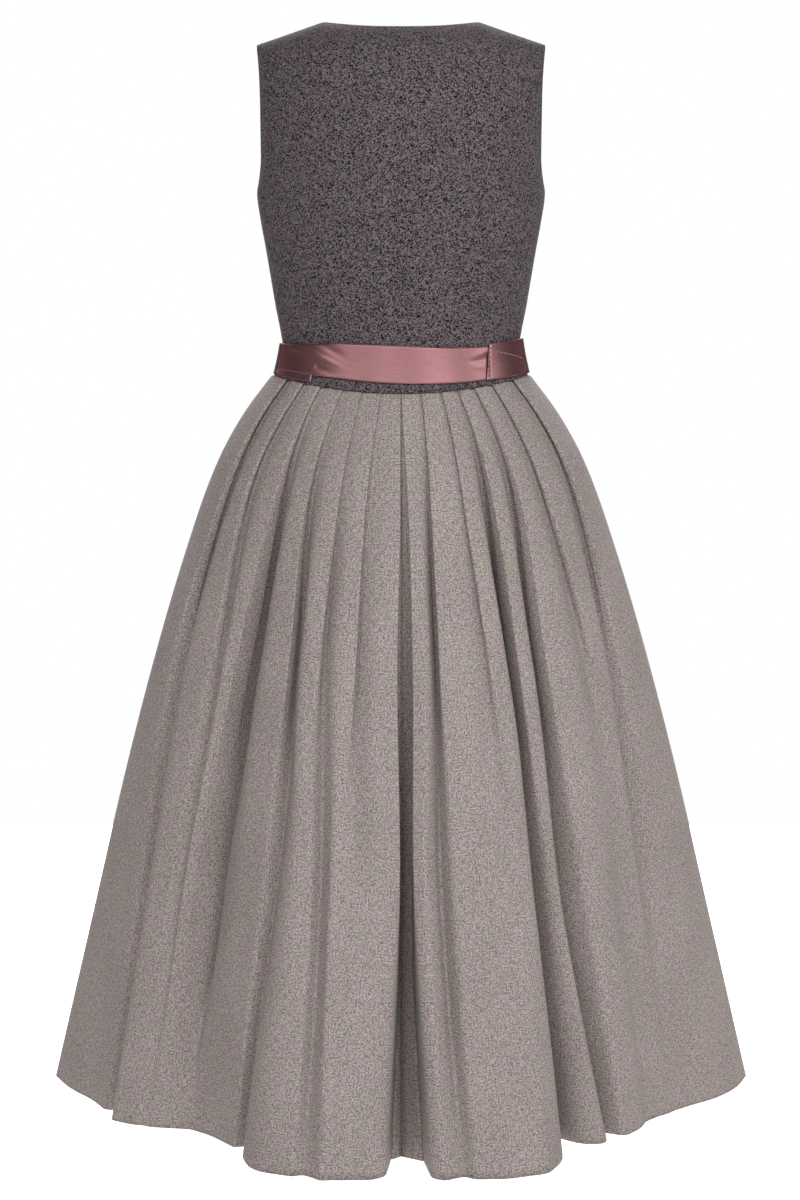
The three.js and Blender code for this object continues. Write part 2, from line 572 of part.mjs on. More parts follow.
// ---- ribbon ----------------------------------------------------------------------------------
// The ribbon starts under itself at the left back, runs once round over the front, crosses the
// back over its own start, runs round again and ends in a folded edge at the right back.
// turn counts degrees from the centre back towards the left side.
const RIBBON_TURNS = [
  { turn: 44, top: -327, foot: -357, layer: 0 },
  { turn: 75, top: -327, foot: -358, layer: 0 },
  { turn: 120, top: -326, foot: -357, layer: 0 },
  { turn: 180, top: -327, foot: -359, layer: 0 },
  { turn: 240, top: -325, foot: -357, layer: 0 },
  { turn: 285, top: -323, foot: -356, layer: 0 },
  { turn: 318, top: -322, foot: -354, layer: 0 },
  { turn: 360, top: -315, foot: -350, layer: 0.15 },
  { turn: 388, top: -316, foot: -349, layer: 0.75 },
  { turn: 402, top: -320, foot: -350, layer: 1 },
  { turn: 435, top: -326, foot: -352, layer: 1 },
  { turn: 480, top: -326, foot: -354, layer: 1 },
  { turn: 540, top: -327, foot: -359, layer: 1 },
  { turn: 600, top: -323, foot: -356, layer: 1 },
  { turn: 645, top: -321, foot: -357, layer: 1 },
  { turn: 674, top: -320, foot: -354.5, layer: 1 },
];
const RIBBON_STEP = 6;        // degrees between stations
const RIBBON_COLUMNS = 3;      // across the ribbon's width
const RIBBON_CLEAR = 0.65;     // between the bodice's cloth and the ribbon's first turn
const TURNS_CLEAR = 0.35;      // between one turn of the ribbon and the next
const RIBBON_INNER = CLOTH / 2 + RIBBON_CLEAR + RIBBON / 2;
const RIBBON_LAYER = RIBBON + TURNS_CLEAR;
function ribbon() {
  const first = RIBBON_TURNS[0].turn;
  const last = RIBBON_TURNS[RIBBON_TURNS.length - 1].turn;
  const stations = Math.round((last - first) / RIBBON_STEP);
  const middle = [];
  for (let s = 0; s <= stations; s += 1) {
    const turn = lerp(first, last, s / stations);
    const sine = Math.sin(rad(turn));
    const back = Math.cos(rad(turn)) >= 0;
    const fromCentre = Math.asin(sine) * 180 / Math.PI;
    const top = along(RIBBON_TURNS, 'turn', 'top', turn);
    const foot = along(RIBBON_TURNS, 'turn', 'foot', turn);
    const layer = along(RIBBON_TURNS, 'turn', 'layer', turn);
    const out = RIBBON_INNER + RIBBON_LAYER * clamp01(layer);
    const line = [];
    for (let a = 0; a <= RIBBON_COLUMNS; a += 1) {
      const height = lerp(foot, top, a / RIBBON_COLUMNS);
      const ring = ringAt(height);
      const point = bodicePoint(fromCentre, height, back);
      const depth = back ? ring.back : ring.front;
      const normal = new THREE.Vector2(point.x / ring.side ** 2, point.y / depth ** 2);
      normal.normalize().multiplyScalar(out + (back ? 0 : lapStepAt(point.x)));
      line.push(new THREE.Vector3(point.x + normal.x, point.y + normal.y, point.z));
    }
    middle.push(line);
  }
  const wall = clothOver(middle, { facing: outOfBody, thick: RIBBON });
  return named('belt_ribbon', wall, COLOURS.ribbon, 0.45);
}

// ---- the dress -------------------------------------------------------------------------------
const dirndl = new THREE.Group();
dirndl.add(
  bodiceBack(),
  bodiceFront('bodice_front_left', true),
  bodiceFront('bodice_front_right', false),
  skirtPanel('skirt_back_left', 'back_left'),
  skirtPanel('skirt_back_right', 'back_right'),
  skirtPanel('skirt_front_left', 'front_left'),
  skirtPanel('skirt_front_right', 'front_right'),
  ribbon(),
  ...buttons(),
);

export default dirndl;
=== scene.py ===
"""A sleeveless dirndl, filled out as worn but with no wearer: a wool tweed bodice that buttons at
the front, a pleated flannel skirt, and a satin ribbon wound round the waist. Its looks are built
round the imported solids. Sizes are in millimetres and turned to metres as each mesh is made."""
import math
import bpy
import numpy as np
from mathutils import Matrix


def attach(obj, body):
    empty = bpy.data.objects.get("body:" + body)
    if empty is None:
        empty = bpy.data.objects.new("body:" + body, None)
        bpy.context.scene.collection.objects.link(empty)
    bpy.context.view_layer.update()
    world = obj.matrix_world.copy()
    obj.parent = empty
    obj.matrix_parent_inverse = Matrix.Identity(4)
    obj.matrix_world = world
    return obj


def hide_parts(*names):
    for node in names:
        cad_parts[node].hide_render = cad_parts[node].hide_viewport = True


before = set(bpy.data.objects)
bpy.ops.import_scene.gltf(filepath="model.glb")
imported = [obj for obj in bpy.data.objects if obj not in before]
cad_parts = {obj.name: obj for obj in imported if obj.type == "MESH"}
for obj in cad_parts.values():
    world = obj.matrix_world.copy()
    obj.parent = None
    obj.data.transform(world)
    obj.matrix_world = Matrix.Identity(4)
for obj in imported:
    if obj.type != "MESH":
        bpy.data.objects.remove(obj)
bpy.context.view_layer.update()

# ---- the room ----
# A pale floor well below the hem, because the dress is held up as if worn. Soft light comes from
# large panels on the viewer's side and from a white room all round.
MM = 0.001
CAMERA_PLACE = (1.05, 2400.0, -342.57)
CAMERA_DOWN = 6.0  # degrees below level
CAMERA_LENS = 68.95  # on a 36 mm high sensor
FLOOR_HEIGHT = -1450.0
FLOOR_HALF = 3000.0
FLOOR_WHITE = "#f4f3f1"
ROOM_LIGHT = 0.1  # how much the white room lights the cloth


def linear(colour):
    """An sRGB hex colour as the linear RGBA that the shaders take."""
    parts = [int(colour[i:i + 2], 16) / 255 for i in (1, 3, 5)]
    return [c / 12.92 if c <= 0.04045 else ((c + 0.055) / 1.055) ** 2.4 for c in parts] + [1.0]


def set_sockets(node, values):
    for socket, value in values.items():
        node.inputs[socket].default_value = value


def add_node(tree, kind, settings=None, values=None, links=None):
    """One node, with its own settings, the values of its sockets and the links into them. A link
    comes from a socket, or from the first output of a node."""
    node = tree.nodes.new(kind)
    for key, value in (settings or {}).items():
        setattr(node, key, value)
    set_sockets(node, values or {})
    for socket, source in (links or {}).items():
        output = source.outputs[0] if isinstance(source, bpy.types.Node) else source
        tree.links.new(output, node.inputs[socket])
    return node


def new_material(name):
    """A material under this name, with its node tree and its shader."""
    material = bpy.data.materials.new(name)
    material.use_nodes = True
    return material, material.node_tree, material.node_tree.nodes["Principled BSDF"]


def add_object(name, data):
    added = bpy.data.objects.new(name, data)
    bpy.context.scene.collection.objects.link(added)
    return added


camera = add_object("camera", bpy.data.cameras.new("camera"))
camera.location = [c * MM for c in CAMERA_PLACE]
camera.rotation_euler = (math.radians(90 - CAMERA_DOWN), 0, math.pi)
camera.data.sensor_fit = "VERTICAL"
camera.data.sensor_height = 36
camera.data.lens = CAMERA_LENS
bpy.context.scene.camera = camera
bpy.context.scene.view_settings.view_transform = "Standard"

room = bpy.data.worlds.new("white_room")
bpy.context.scene.world = room
room.use_nodes = True
room_tree = room.node_tree
lit = room_tree.nodes["Background"]
set_sockets(lit, {"Color": (1, 1, 1, 1), "Strength": ROOM_LIGHT})
seen = add_node(room_tree, "ShaderNodeBackground", None, {"Color": (1, 1, 1, 1), "Strength": 1.0})
ray = add_node(room_tree, "ShaderNodeLightPath")
walls = add_node(room_tree, "ShaderNodeMixShader",
                 links={0: ray.outputs["Is Camera Ray"], 1: lit, 2: seen})
room_tree.links.new(walls.outputs[0], room_tree.nodes["World Output"].inputs["Surface"])

# Panels of light: name, where each stands, its size, its power, and the height that it faces.
LIGHT_PANELS = [
    ("far_right_panel", (-2740, 1455, 950), 1300, 38, -400),
    ("right_panel", (-1310, 2810, 980), 1300, 52, -400),
    ("middle_panel", (430, 3070, 980), 1300, 41, -400),
    ("left_panel", (1910, 2440, 980), 1300, 34, -400),
    ("front_panel", (60, -2700, 1900), 1300, 95, -400),
    ("floor_wash", (0, -5200, 900), 6500, 760, None),
]
for name, stands, size, watts, faces in LIGHT_PANELS:
    light = add_object(name, bpy.data.lights.new(name, "AREA"))
    light.data.shape = "SQUARE"
    light.data.size = size * MM
    light.data.energy = watts
    place = np.array(stands, float)
    light.location = place * MM
    if faces is None:  # straight down, on the floor behind the dress
        continue
    towards = np.array([0, 0, faces]) - place
    level = math.hypot(towards[0], towards[1])
    light.rotation_euler = (math.atan2(level, -towards[2]), 0, math.atan2(-towards[0], towards[1]))

floor_mesh = bpy.data.meshes.new("floor")
floor_mesh.from_pydata([(x * FLOOR_HALF * MM, y * FLOOR_HALF * MM, FLOOR_HEIGHT * MM)
                        for x, y in ((-1, -1), (1, -1), (1, 1), (-1, 1))], [], [(0, 1, 2, 3)])
floor = add_object("floor", floor_mesh)
painted, _, shader = new_material("matt_white_floor_paint")
set_sockets(shader, {"Base Color": linear(FLOOR_WHITE), "Roughness": 0.9})
floor_mesh.materials.append(painted)

# ---- bodice back ----
# One piece of dark grey-brown wool tweed from the waist seam over the shoulder blades to the neck
# and shoulder seams. It is cut plain, and its neck and armhole edges are turned and edge-stitched.
CLOTH = 1.3  # wool with its lining
HALF_WALL = 0.8  # half of the solid's wall that the cloth lies in
SEAM = 0.3  # left between two pieces that are sewn together
WAIST_SEAM = -360.0
BACK_DIP, FRONT_DIP = 18.0, 8.0  # how far the waist seam dips at the centre
UNDERARM = -176.0
NECK_POINT = (80.0, -1.5)  # out, height
SHOULDER_TIP = (147.0, -24.0)
NECK_BACK = 58.0  # how far back the neckline reaches at its centre
NECK_CURVE = 2.4  # how square the neckline is in plan; 2 is an ellipse
YOKE_RISE, YOKE_LEAD = 0.76, 0.62  # handles of the yoke's curves, shares of its height and depth
YOKE_SETTLE = 6.0
YOKE_FROM = -60.0  # above this height the cloth faces up rather than out

# Height at the side seam, half width, depth at back and front, reach round the back and front.
BODICE_RINGS = np.array([
    (-360, 131.5, 93.5, 91, 90, 90), (-347, 125, 90, 88.5, 90, 90),
    (-333, 121.9, 88.5, 87.5, 90, 90), (-316, 124, 89.5, 90, 90, 90), (-290, 129, 94, 98, 90, 90),
    (-260, 134, 100, 108, 90, 90), (-230, 139, 105, 116, 90, 90),
    (-203, 143.8, 108.5, 119, 90, 90), (-176, 147.7, 110.5, 118, 90, 90),
    (-162, 146.5, 111, 115, 81.5, 80), (-146, 147, 111, 110, 75.5, 73),
    (-124, 149.5, 110.5, 103, 71.5, 68), (-100, 151, 108, 96, 70, 65)])
BLADES = BODICE_RINGS[-1, 0]
BUST = {"x": 70.0, "height": -208.0, "out": 13.0, "wide": 44.0, "tall": 50.0}
BODICE_ROWS, YOKE_ROWS = 66, 34
NECK_COLUMNS, SHOULDER_COLUMNS = 30, 21
EVEN_COLUMNS = 0.25  # how far the columns are spread evenly, rather than by angle


def smooth(value):
    share = np.clip(value, 0, 1)
    return share * share * (3 - 2 * share)


def mix(a, b, share):
    return a + (b - a) * share


def along(keys, values, at):
    """A smooth curve through values at rising keys, read at other places."""
    keys, values, at = (np.asarray(a, float) for a in (keys, values, at))
    slopes = np.gradient(values) / np.gradient(keys)
    nxt = np.clip(np.searchsorted(keys, at), 1, len(keys) - 1)
    low = nxt - 1
    span = keys[nxt] - keys[low]
    t = np.clip((at - keys[low]) / span, 0, 1)
    return (values[low] * (2 * t**3 - 3 * t**2 + 1) + slopes[low] * span * (t**3 - 2 * t**2 + t)
            + values[nxt] * (3 * t**2 - 2 * t**3) + slopes[nxt] * span * (t**3 - t**2))


def read_table(table, column, at):
    """One column of a table, at these places along its first column."""
    return along(table[:, 0], table[:, column], at)


def bodice_point(angle, height, back):
    """The middle of the bodice's cloth at a signed angle, positive to the left, and ring height."""
    side, depth_back, depth_front = (read_table(BODICE_RINGS, i, height) for i in (1, 2, 3))
    turn = np.radians(angle)
    x = side * np.sin(turn)
    dip = (BACK_DIP if back else FRONT_DIP) * np.cos(turn) ** 2
    z = height - dip * smooth((UNDERARM - height) / (UNDERARM - WAIST_SEAM))
    bust = BUST["out"] * np.exp(-(((np.abs(x) - BUST["x"]) / BUST["wide"]) ** 2)
                                - ((height - BUST["height"]) / BUST["tall"]) ** 2)
    front = -depth_front * np.cos(turn) - bust * smooth(np.cos(turn) * 2)
    y = depth_back * np.cos(turn) if back else front
    return np.stack(np.broadcast_arrays(x, y, z), -1)


def reach_round(heights, column):
    """How many degrees round the cloth goes at each height, less half a seam at the side."""
    reach = np.minimum(90, read_table(BODICE_RINGS, column, heights))
    half_seam = np.degrees(SEAM / 2 / 100)  # about 100 mm from the middle
    return np.where(reach > 89.99, 90 - half_seam, reach)


def unit(vectors):
    return vectors / np.maximum(np.linalg.norm(vectors, axis=-1, keepdims=True), 1e-9)


def out_of_cloth(middle):
    """Which way is out of the body at each point of a grid of the cloth's middle."""
    normal = unit(np.cross(np.gradient(middle, axis=1), np.gradient(middle, axis=0)))
    outward = middle.copy()
    outward[..., 2] = np.where(middle[..., 2] > YOKE_FROM, 90.0, 0.0)
    turned = (normal * outward).sum(2, keepdims=True) < 0
    return np.where(turned, -normal, normal)


def run_lengths(points, axis=0):
    """How far each point lies from the first one, along the line through them."""
    steps = np.diff(points, axis=axis, prepend=np.take(points, [0], axis))
    return np.cumsum(np.linalg.norm(steps, axis=-1), axis=axis)


def thread_lengths(middle, centre):
    """Lengths along the threads: across from the centre column, and up from the first row."""
    across = run_lengths(middle, 1)
    return np.stack([across - across[:, centre:centre + 1], run_lengths(middle)], -1)


def cloth_piece(name, middle, normal, thick, threads, material, panel_of=0):
    """A cloth wall over a grid of points, both faces and all four edges, with its threads as UVs.
    threads is [row, column, 2], or [panel, row, column, 2] where panel_of gives each column's."""
    rows, columns = middle.shape[:2]
    count = rows * columns
    half_cloth = normal * thick / 2
    points = np.concatenate([(middle + half_cloth).reshape(-1, 3),
                             (middle - half_cloth).reshape(-1, 3)]) * MM
    up, across = np.arange(rows - 1), np.arange(columns - 1)
    r, c = (a.ravel() for a in np.meshgrid(up, across, indexing="ij"))
    at = r * columns + c
    # the two faces, the first and last columns, the foot and the top
    faces = np.concatenate([
        np.add.outer(at, (0, columns, columns + 1, 1)),
        np.add.outer(at + count, (1, columns + 1, columns, 0)),
        np.add.outer(up * columns, (0, count, count + columns, columns)),
        np.add.outer(up * columns + columns - 1, (0, columns, columns + count, count)),
        np.add.outer(across, (0, 1, 1 + count, count)),
        np.add.outer((rows - 1) * columns + across, (0, count, 1 + count, 1))])
    panel = np.zeros(columns - 1, int) + panel_of
    face_panel = np.concatenate([panel[c], panel[c], np.full(rows - 1, panel[0]),
                                 np.full(rows - 1, panel[-1]), panel, panel])
    p, q, r, s = points[faces].swapaxes(0, 1)
    if (np.cross(p, q) * r).sum() + (np.cross(p, r) * s).sum() < 0:  # inside out
        faces = faces[:, ::-1]
    mesh = bpy.data.meshes.new(name)
    mesh.from_pydata(points.tolist(), [], faces.tolist())
    flat = np.asarray(threads).reshape(-1, count, 2)
    corner_uv = flat[np.repeat(face_panel, 4), faces.ravel() % count]
    uv = mesh.uv_layers.new(name="threads")
    uv.data.foreach_set("uv", corner_uv.astype(np.float32).ravel())
    mesh.shade_smooth()
    mesh.materials.append(material)
    return add_object(name, mesh)


def colour_bands(ramp, places, colours):
    """Sets a colour ramp's stops, in rising order, to these places and hex colours."""
    stops = ramp.color_ramp.elements
    for place in places[1:-1]:
        stops.new(place)
    for stop, place, colour in zip(stops, places, colours):
        stop.position = place
        stop.color = linear(colour)


def weave_shader(tree, shader, colour, relief, depth, values):
    """Gives a cloth's shader its colour, the fine relief of its threads and its own values."""
    tree.links.new(colour.outputs[0], shader.inputs["Base Color"])
    bump = add_node(tree, "ShaderNodeBump", None, depth, {"Height": relief})
    tree.links.new(bump.outputs["Normal"], shader.inputs["Normal"])
    set_sockets(shader, values)


FLAT = {"noise_dimensions": "2D"}  # textures are laid along the threads, in millimetres


def tweed():
    """Wool tweed, a fine twill of dark and light flecked yarn: fully matt, with pale fibres
    standing out. Its flecks are drawn 1.2 mm long, the real ones being 0.6 mm."""
    material, tree, shader = new_material("woven_wool_tweed")
    uv = add_node(tree, "ShaderNodeUVMap", {"uv_map": "threads"})
    # one fleck where each yarn passes over another, dark or light by chance, set along the twill
    lean = add_node(tree, "ShaderNodeMapping", None,
                    {"Rotation": (0, 0, math.radians(38)), "Scale": (0.83, 1.05, 1)},
                    {"Vector": uv})
    crossing = add_node(tree, "ShaderNodeVectorMath", {"operation": "FLOOR"}, None,
                        {0: lean})
    flecks = add_node(tree, "ShaderNodeTexWhiteNoise", FLAT, None,
                      {"Vector": crossing})
    # thicker and thinner lengths of yarn, 2 to 5 mm, and ribs of the twill that turn now and then
    slubs = add_node(tree, "ShaderNodeTexNoise", FLAT,
                     {"Scale": 0.3, "Detail": 2.0, "Roughness": 0.7}, {"Vector": uv})
    ribs = add_node(tree, "ShaderNodeTexWave", None,
                    {"Scale": 0.15, "Distortion": 3.2, "Detail": 1.0, "Detail Scale": 3.0,
                     "Detail Roughness": 0.7}, {"Vector": lean})
    # the yarn's own tints, in patches from 6 to 20 mm
    dye = add_node(tree, "ShaderNodeTexNoise", FLAT,
                   {"Scale": 0.06, "Detail": 1.0, "Roughness": 0.5}, {"Vector": uv})
    tint = add_node(tree, "ShaderNodeValToRGB", links={"Fac": dye})
    colour_bands(tint, (0.3, 0.5, 0.7), TWEED_TINTS)
    yarns = add_node(tree, "ShaderNodeMix", None, {"Factor": 0.24},
                     {"A": flecks, "B": slubs})
    grain = add_node(tree, "ShaderNodeMix", None, {"Factor": 0.1},
                     {"A": yarns, "B": ribs.outputs["Fac"]})
    spread = add_node(tree, "ShaderNodeMapRange", None,
                      {"From Min": 0.23, "From Max": 0.77, "To Min": 0.02, "To Max": 2.08},
                      {"Value": grain})
    yarn = add_node(tree, "ShaderNodeVectorMath", {"operation": "SCALE"}, None,
                    {0: tint, "Scale": spread})
    weave_shader(tree, shader, yarn, grain, {"Strength": 0.25, "Distance": 0.0003},
                 {"Roughness": 0.95, "Specular IOR Level": 0.1, "Sheen Weight": 0.02,
                  "Sheen Roughness": 0.6})
    return material


TWEED_TINTS = ("#474243", "#484144", "#4a4144")  # green, grey and mauve
tweed_cloth = tweed()


def neck_behind(x):
    """How far behind the shoulder seam the back neckline lies, by distance from the centre."""
    share = np.clip(np.abs(x) / NECK_POINT[0], 0, 1)
    return np.maximum(NECK_BACK * np.sqrt(1 - share ** NECK_CURVE), SEAM / 2)


def shoulder_top(x):
    """The line over the shoulders in the plane of the shoulder seam."""
    out = np.clip((np.abs(x) - NECK_POINT[0]) / (SHOULDER_TIP[0] - NECK_POINT[0]), 0, 1)
    return np.stack([x, np.full_like(x, SEAM / 2), mix(NECK_POINT[1], SHOULDER_TIP[1], out)], -1)


def cubic(start, start_handle, end_handle, end, share):
    keep = 1 - share
    return (start * keep**3 + start_handle * 3 * keep**2 * share
            + end_handle * 3 * keep * share**2 + end * share**3)


neck_columns = NECK_POINT[0] * np.sin(np.linspace(0, math.pi / 2, NECK_COLUMNS))
shoulder_columns = np.linspace(NECK_POINT[0], SHOULDER_TIP[0], SHOULDER_COLUMNS)[1:]
half = np.concatenate([neck_columns, shoulder_columns])
columns_x = np.concatenate([-half[:0:-1], half])
ring_heights = np.linspace(WAIST_SEAM, BLADES, BODICE_ROWS)
reach = reach_round(ring_heights, 4)
out_share = np.abs(columns_x) / SHOULDER_TIP[0]
spread = mix(np.arcsin(out_share) / (math.pi / 2), out_share, EVEN_COLUMNS)
angles = np.sign(columns_x) * reach[:, None] * spread
lower = bodice_point(angles, ring_heights[:, None], True)
lower[0, :, 2] += SEAM / 2
shares = np.arange(1, YOKE_ROWS + 1) / YOKE_ROWS
blade, top = lower[-1], shoulder_top(columns_x)
rise_handle, lead_handle = blade.copy(), top.copy()
rise_handle[:, 2] += YOKE_RISE * (top[:, 2] - blade[:, 2])
lead_handle[:, 1] += YOKE_LEAD * blade[:, 1]
lead_handle[:, 2] -= YOKE_SETTLE
# each column stops where it meets the neckline, or at the shoulder seam
low, high = np.zeros(len(columns_x)), np.ones(len(columns_x))
for _ in range(30):
    halfway = (low + high) / 2
    met = cubic(blade, rise_handle, lead_handle, top, halfway[:, None])
    behind = met[:, 1] > neck_behind(columns_x)
    low, high = np.where(behind, halfway, low), np.where(behind, high, halfway)
reach_up = np.where(np.abs(columns_x) < NECK_POINT[0], high, 1)
yoke = cubic(blade, rise_handle, lead_handle, top, shares[:, None, None] * reach_up[:, None])
back_middle = np.concatenate([lower, yoke])
# Soft drag lines of worn cloth, from the armholes to the blades and level above the ribbon: out,
# height, lean in degrees, length, width, lift.
BACK_DRAGS = [(96, -150, 62, 60, 13, 0.9), (-100, -160, -66, 54, 12, 0.8),
              (58, -300, 20, 46, 9, 0.6), (-66, -306, -14, 50, 9, 0.6), (6, -290, 4, 60, 12, 0.4)]


def long_swell(dx, dz, lean, long, wide, lift):
    """A long narrow swell of the cloth, leaning from level, by distance from its middle."""
    turn = math.radians(lean)
    run = dx * math.cos(turn) + dz * math.sin(turn)
    cross = -dx * math.sin(turn) + dz * math.cos(turn)
    return lift * np.exp(-(run / long) ** 2 - (cross / wide) ** 2)


def drag_lines(points, drags):
    return sum(long_swell(points[..., 0] - x, points[..., 2] - z, *shape)
               for x, z, *shape in drags)


back_normal = out_of_cloth(back_middle)
back_middle = back_middle + back_normal * drag_lines(back_middle, BACK_DRAGS)[..., None]
bodice_back = cloth_piece("back_of_bodice", back_middle, back_normal, CLOTH,
                          thread_lengths(back_middle, len(half) - 1), tweed_cloth)
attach(bodice_back, "root")
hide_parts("bodice_back")

# ---- bodice fronts ----
# Two tweed fronts with a low round neckline. They lap 18 mm at the centre front, right over left,
# and are joined to the back at the side and shoulder seams.
LAP_HALF = 9.0
LAP_STEP = 1.35  # how far each front stands off the middle of the lap
LAP_RUN = 22.0  # and how far out that is let in again
LAP_ENDS = 34.0  # it is gone where the neckline has run this far out
STRAP_RISE, STRAP_LEAD = np.array([0, 0, 40.0]), np.array([0, -30, -5.0])
FRONT_COLUMNS = 56
NECKLINE = np.array([(-162, -9), (-146, 34), (-124, 50), (-100, 60)])  # height, out
FRONT_DRAGS = {"left": [(96, -170, -40, 40, 10, 0.8), (60, -280, 72, 50, 9, 0.6)],
               "right": [(-92, -176, 46, 42, 10, 0.7), (-66, -286, -66, 46, 9, 0.6)]}


def lap_step(x):
    return LAP_STEP * (1 - smooth((np.abs(x) - LAP_HALF) / LAP_RUN))


fronts = {}
for side_name, sign in (("left", 1), ("right", -1)):
    over = -sign  # the right front lies over the left one
    reach = reach_round(ring_heights, 5)
    neck = np.where(ring_heights > NECKLINE[0, 0],
                    read_table(NECKLINE, 1, ring_heights), -LAP_HALF)
    ring_side = read_table(BODICE_RINGS, 1, ring_heights)
    start = np.degrees(np.arcsin(neck / ring_side))
    share = np.linspace(0, 1, FRONT_COLUMNS + 1)
    angles = start[:, None] + (reach - start)[:, None] * share
    lower = bodice_point(sign * angles, ring_heights[:, None], False)
    still_lapped = 1 - np.clip((neck + LAP_HALF) / (LAP_ENDS + LAP_HALF), 0, 1)
    aside = np.maximum(0, sign * lower[..., 0])
    lower[..., 1] -= over * lap_step(aside) * still_lapped[:, None]
    lower[0, :, 2] += SEAM / 2
    end = np.stack([sign * mix(NECK_POINT[0], SHOULDER_TIP[0], share),
                    np.full_like(share, -SEAM / 2),
                    mix(NECK_POINT[1], SHOULDER_TIP[1], share)], -1)
    strap = cubic(lower[-1], lower[-1] + STRAP_RISE, end + STRAP_LEAD, end, shares[:, None, None])
    middle = np.concatenate([lower, strap])
    normal = out_of_cloth(middle)
    middle = middle + normal * drag_lines(middle, FRONT_DRAGS[side_name])[..., None]
    front = cloth_piece(f"{side_name}_front", middle, normal, CLOTH, thread_lengths(middle, 0),
                        tweed_cloth)
    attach(front, "root")
    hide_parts(f"bodice_front_{side_name}")
    fronts[side_name] = (middle, normal)

# ---- edge stitching ----
# One row of machine stitches in thread dyed to the tweed, 5 mm in from the neck, armhole and lap
# edges. It holds the turned edge and its facing down, and the thread half sinks into the cloth.
EDGE_INSET = 5.0
EDGE_PITCH, EDGE_STITCH = 3.0, 2.3
EDGE_THREAD = 0.55  # a 0.3 mm thread, drawn heavier so that it shows
THREAD_STANDS = 0.1  # the thread's middle, above the cloth's outer face
DARK_THREAD = ("#39333a", "#5a5155")


def spun_thread(name, shades):
    """Spun polyester sewing thread: nearly matt, with a fine change of shade from its twist."""
    material, tree, shader = new_material(name)
    where = add_node(tree, "ShaderNodeTexCoord").outputs["Object"]
    twist = add_node(tree, "ShaderNodeTexNoise", None, {"Scale": 900.0, "Detail": 1.0},
                     {"Vector": where})
    dyed = add_node(tree, "ShaderNodeValToRGB", links={"Fac": twist})
    colour_bands(dyed, (0.4, 0.6), shades)
    tree.links.new(dyed.outputs["Color"], shader.inputs["Base Color"])
    set_sockets(shader, {"Roughness": 0.7, "Specular IOR Level": 0.3, "Sheen Weight": 0.05})
    return material


def row_of_stitches():
    """Stitches along a path: small round-ended bars of thread, a little uneven in length."""
    tree = bpy.data.node_groups.new("row_of_stitches", "GeometryNodeTree")
    for name, kind in (("Path", "Geometry"), ("Pitch", "Float"), ("Stitch length", "Float"),
                       ("Thread width", "Float"), ("Seed", "Int"), ("Thread", "Material")):
        tree.interface.new_socket(name, in_out="INPUT", socket_type="NodeSocket" + kind)
    tree.interface.new_socket("Stitches", in_out="OUTPUT", socket_type="NodeSocketGeometry")
    given = add_node(tree, "NodeGroupInput").outputs
    line = add_node(tree, "GeometryNodeMeshToCurve", links={"Mesh": given["Path"]})
    places = add_node(tree, "GeometryNodeResampleCurve", {"mode": "LENGTH"}, None,
                      {"Curve": line, "Length": given["Pitch"]})
    way = add_node(tree, "GeometryNodeInputTangent")
    turned = add_node(tree, "FunctionNodeAlignRotationToVector", {"axis": "X"}, None,
                      {"Vector": way})
    bar = add_node(tree, "GeometryNodeMeshUVSphere", None,
                   {"Segments": 6, "Rings": 4, "Radius": 0.5})
    uneven = add_node(tree, "FunctionNodeRandomValue", None, {2: 0.85, 3: 1.1},
                      {"Seed": given["Seed"]})
    length = add_node(tree, "ShaderNodeMath", {"operation": "MULTIPLY"}, None,
                      {0: given["Stitch length"], 1: uneven.outputs[1]})
    size = add_node(tree, "ShaderNodeCombineXYZ", links={
        "X": length, "Y": given["Thread width"], "Z": given["Thread width"]})
    row = add_node(tree, "GeometryNodeInstanceOnPoints", links={
        "Points": places, "Instance": bar, "Rotation": turned, "Scale": size})
    made = add_node(tree, "GeometryNodeRealizeInstances", links={"Geometry": row})
    dyed = add_node(tree, "GeometryNodeSetMaterial",
                    links={"Geometry": made, "Material": given["Thread"]})
    add_node(tree, "NodeGroupOutput", links={"Stitches": dyed})
    return tree


stitch_row = row_of_stitches()


def sewn(name, paths, pitch, length, width, thread):
    """Sews stitches along paths, each a list of points in millimetres, into one plain mesh."""
    points, edges = [], []
    for path in paths:
        edges += [(len(points) + i, len(points) + i + 1) for i in range(len(path) - 1)]
        points += [tuple(point * MM) for point in path]
    line = bpy.data.meshes.new(name + "_path")
    line.from_pydata(points, edges, [])
    path = add_object(name + "_path", line)
    modifier = path.modifiers.new("stitches", "NODES")
    modifier.node_group = stitch_row
    given = {"Pitch": pitch * MM, "Stitch length": length * MM, "Thread width": width * MM,
             "Seed": 7, "Thread": thread}
    for socket in stitch_row.interface.items_tree:
        if socket.name in given:
            modifier[socket.identifier] = given[socket.name]
    laid = bpy.context.evaluated_depsgraph_get()
    mesh = bpy.data.meshes.new_from_object(path.evaluated_get(laid), depsgraph=laid)
    mesh.name = name
    bpy.data.objects.remove(path)
    bpy.data.meshes.remove(line)
    mesh.shade_smooth()
    return add_object(name, mesh)


def inside_edge(lines, normals):
    """Where a row of stitches runs, on lines that start at an edge of the cloth."""
    row = []
    for line, normal in zip(lines, normals):
        run = run_lengths(line)
        at, out = (np.array([np.interp(EDGE_INSET, run, a[:, k]) for k in range(3)])
                   for a in (line, normal))
        row.append(at + out * on_cloth)
    return row


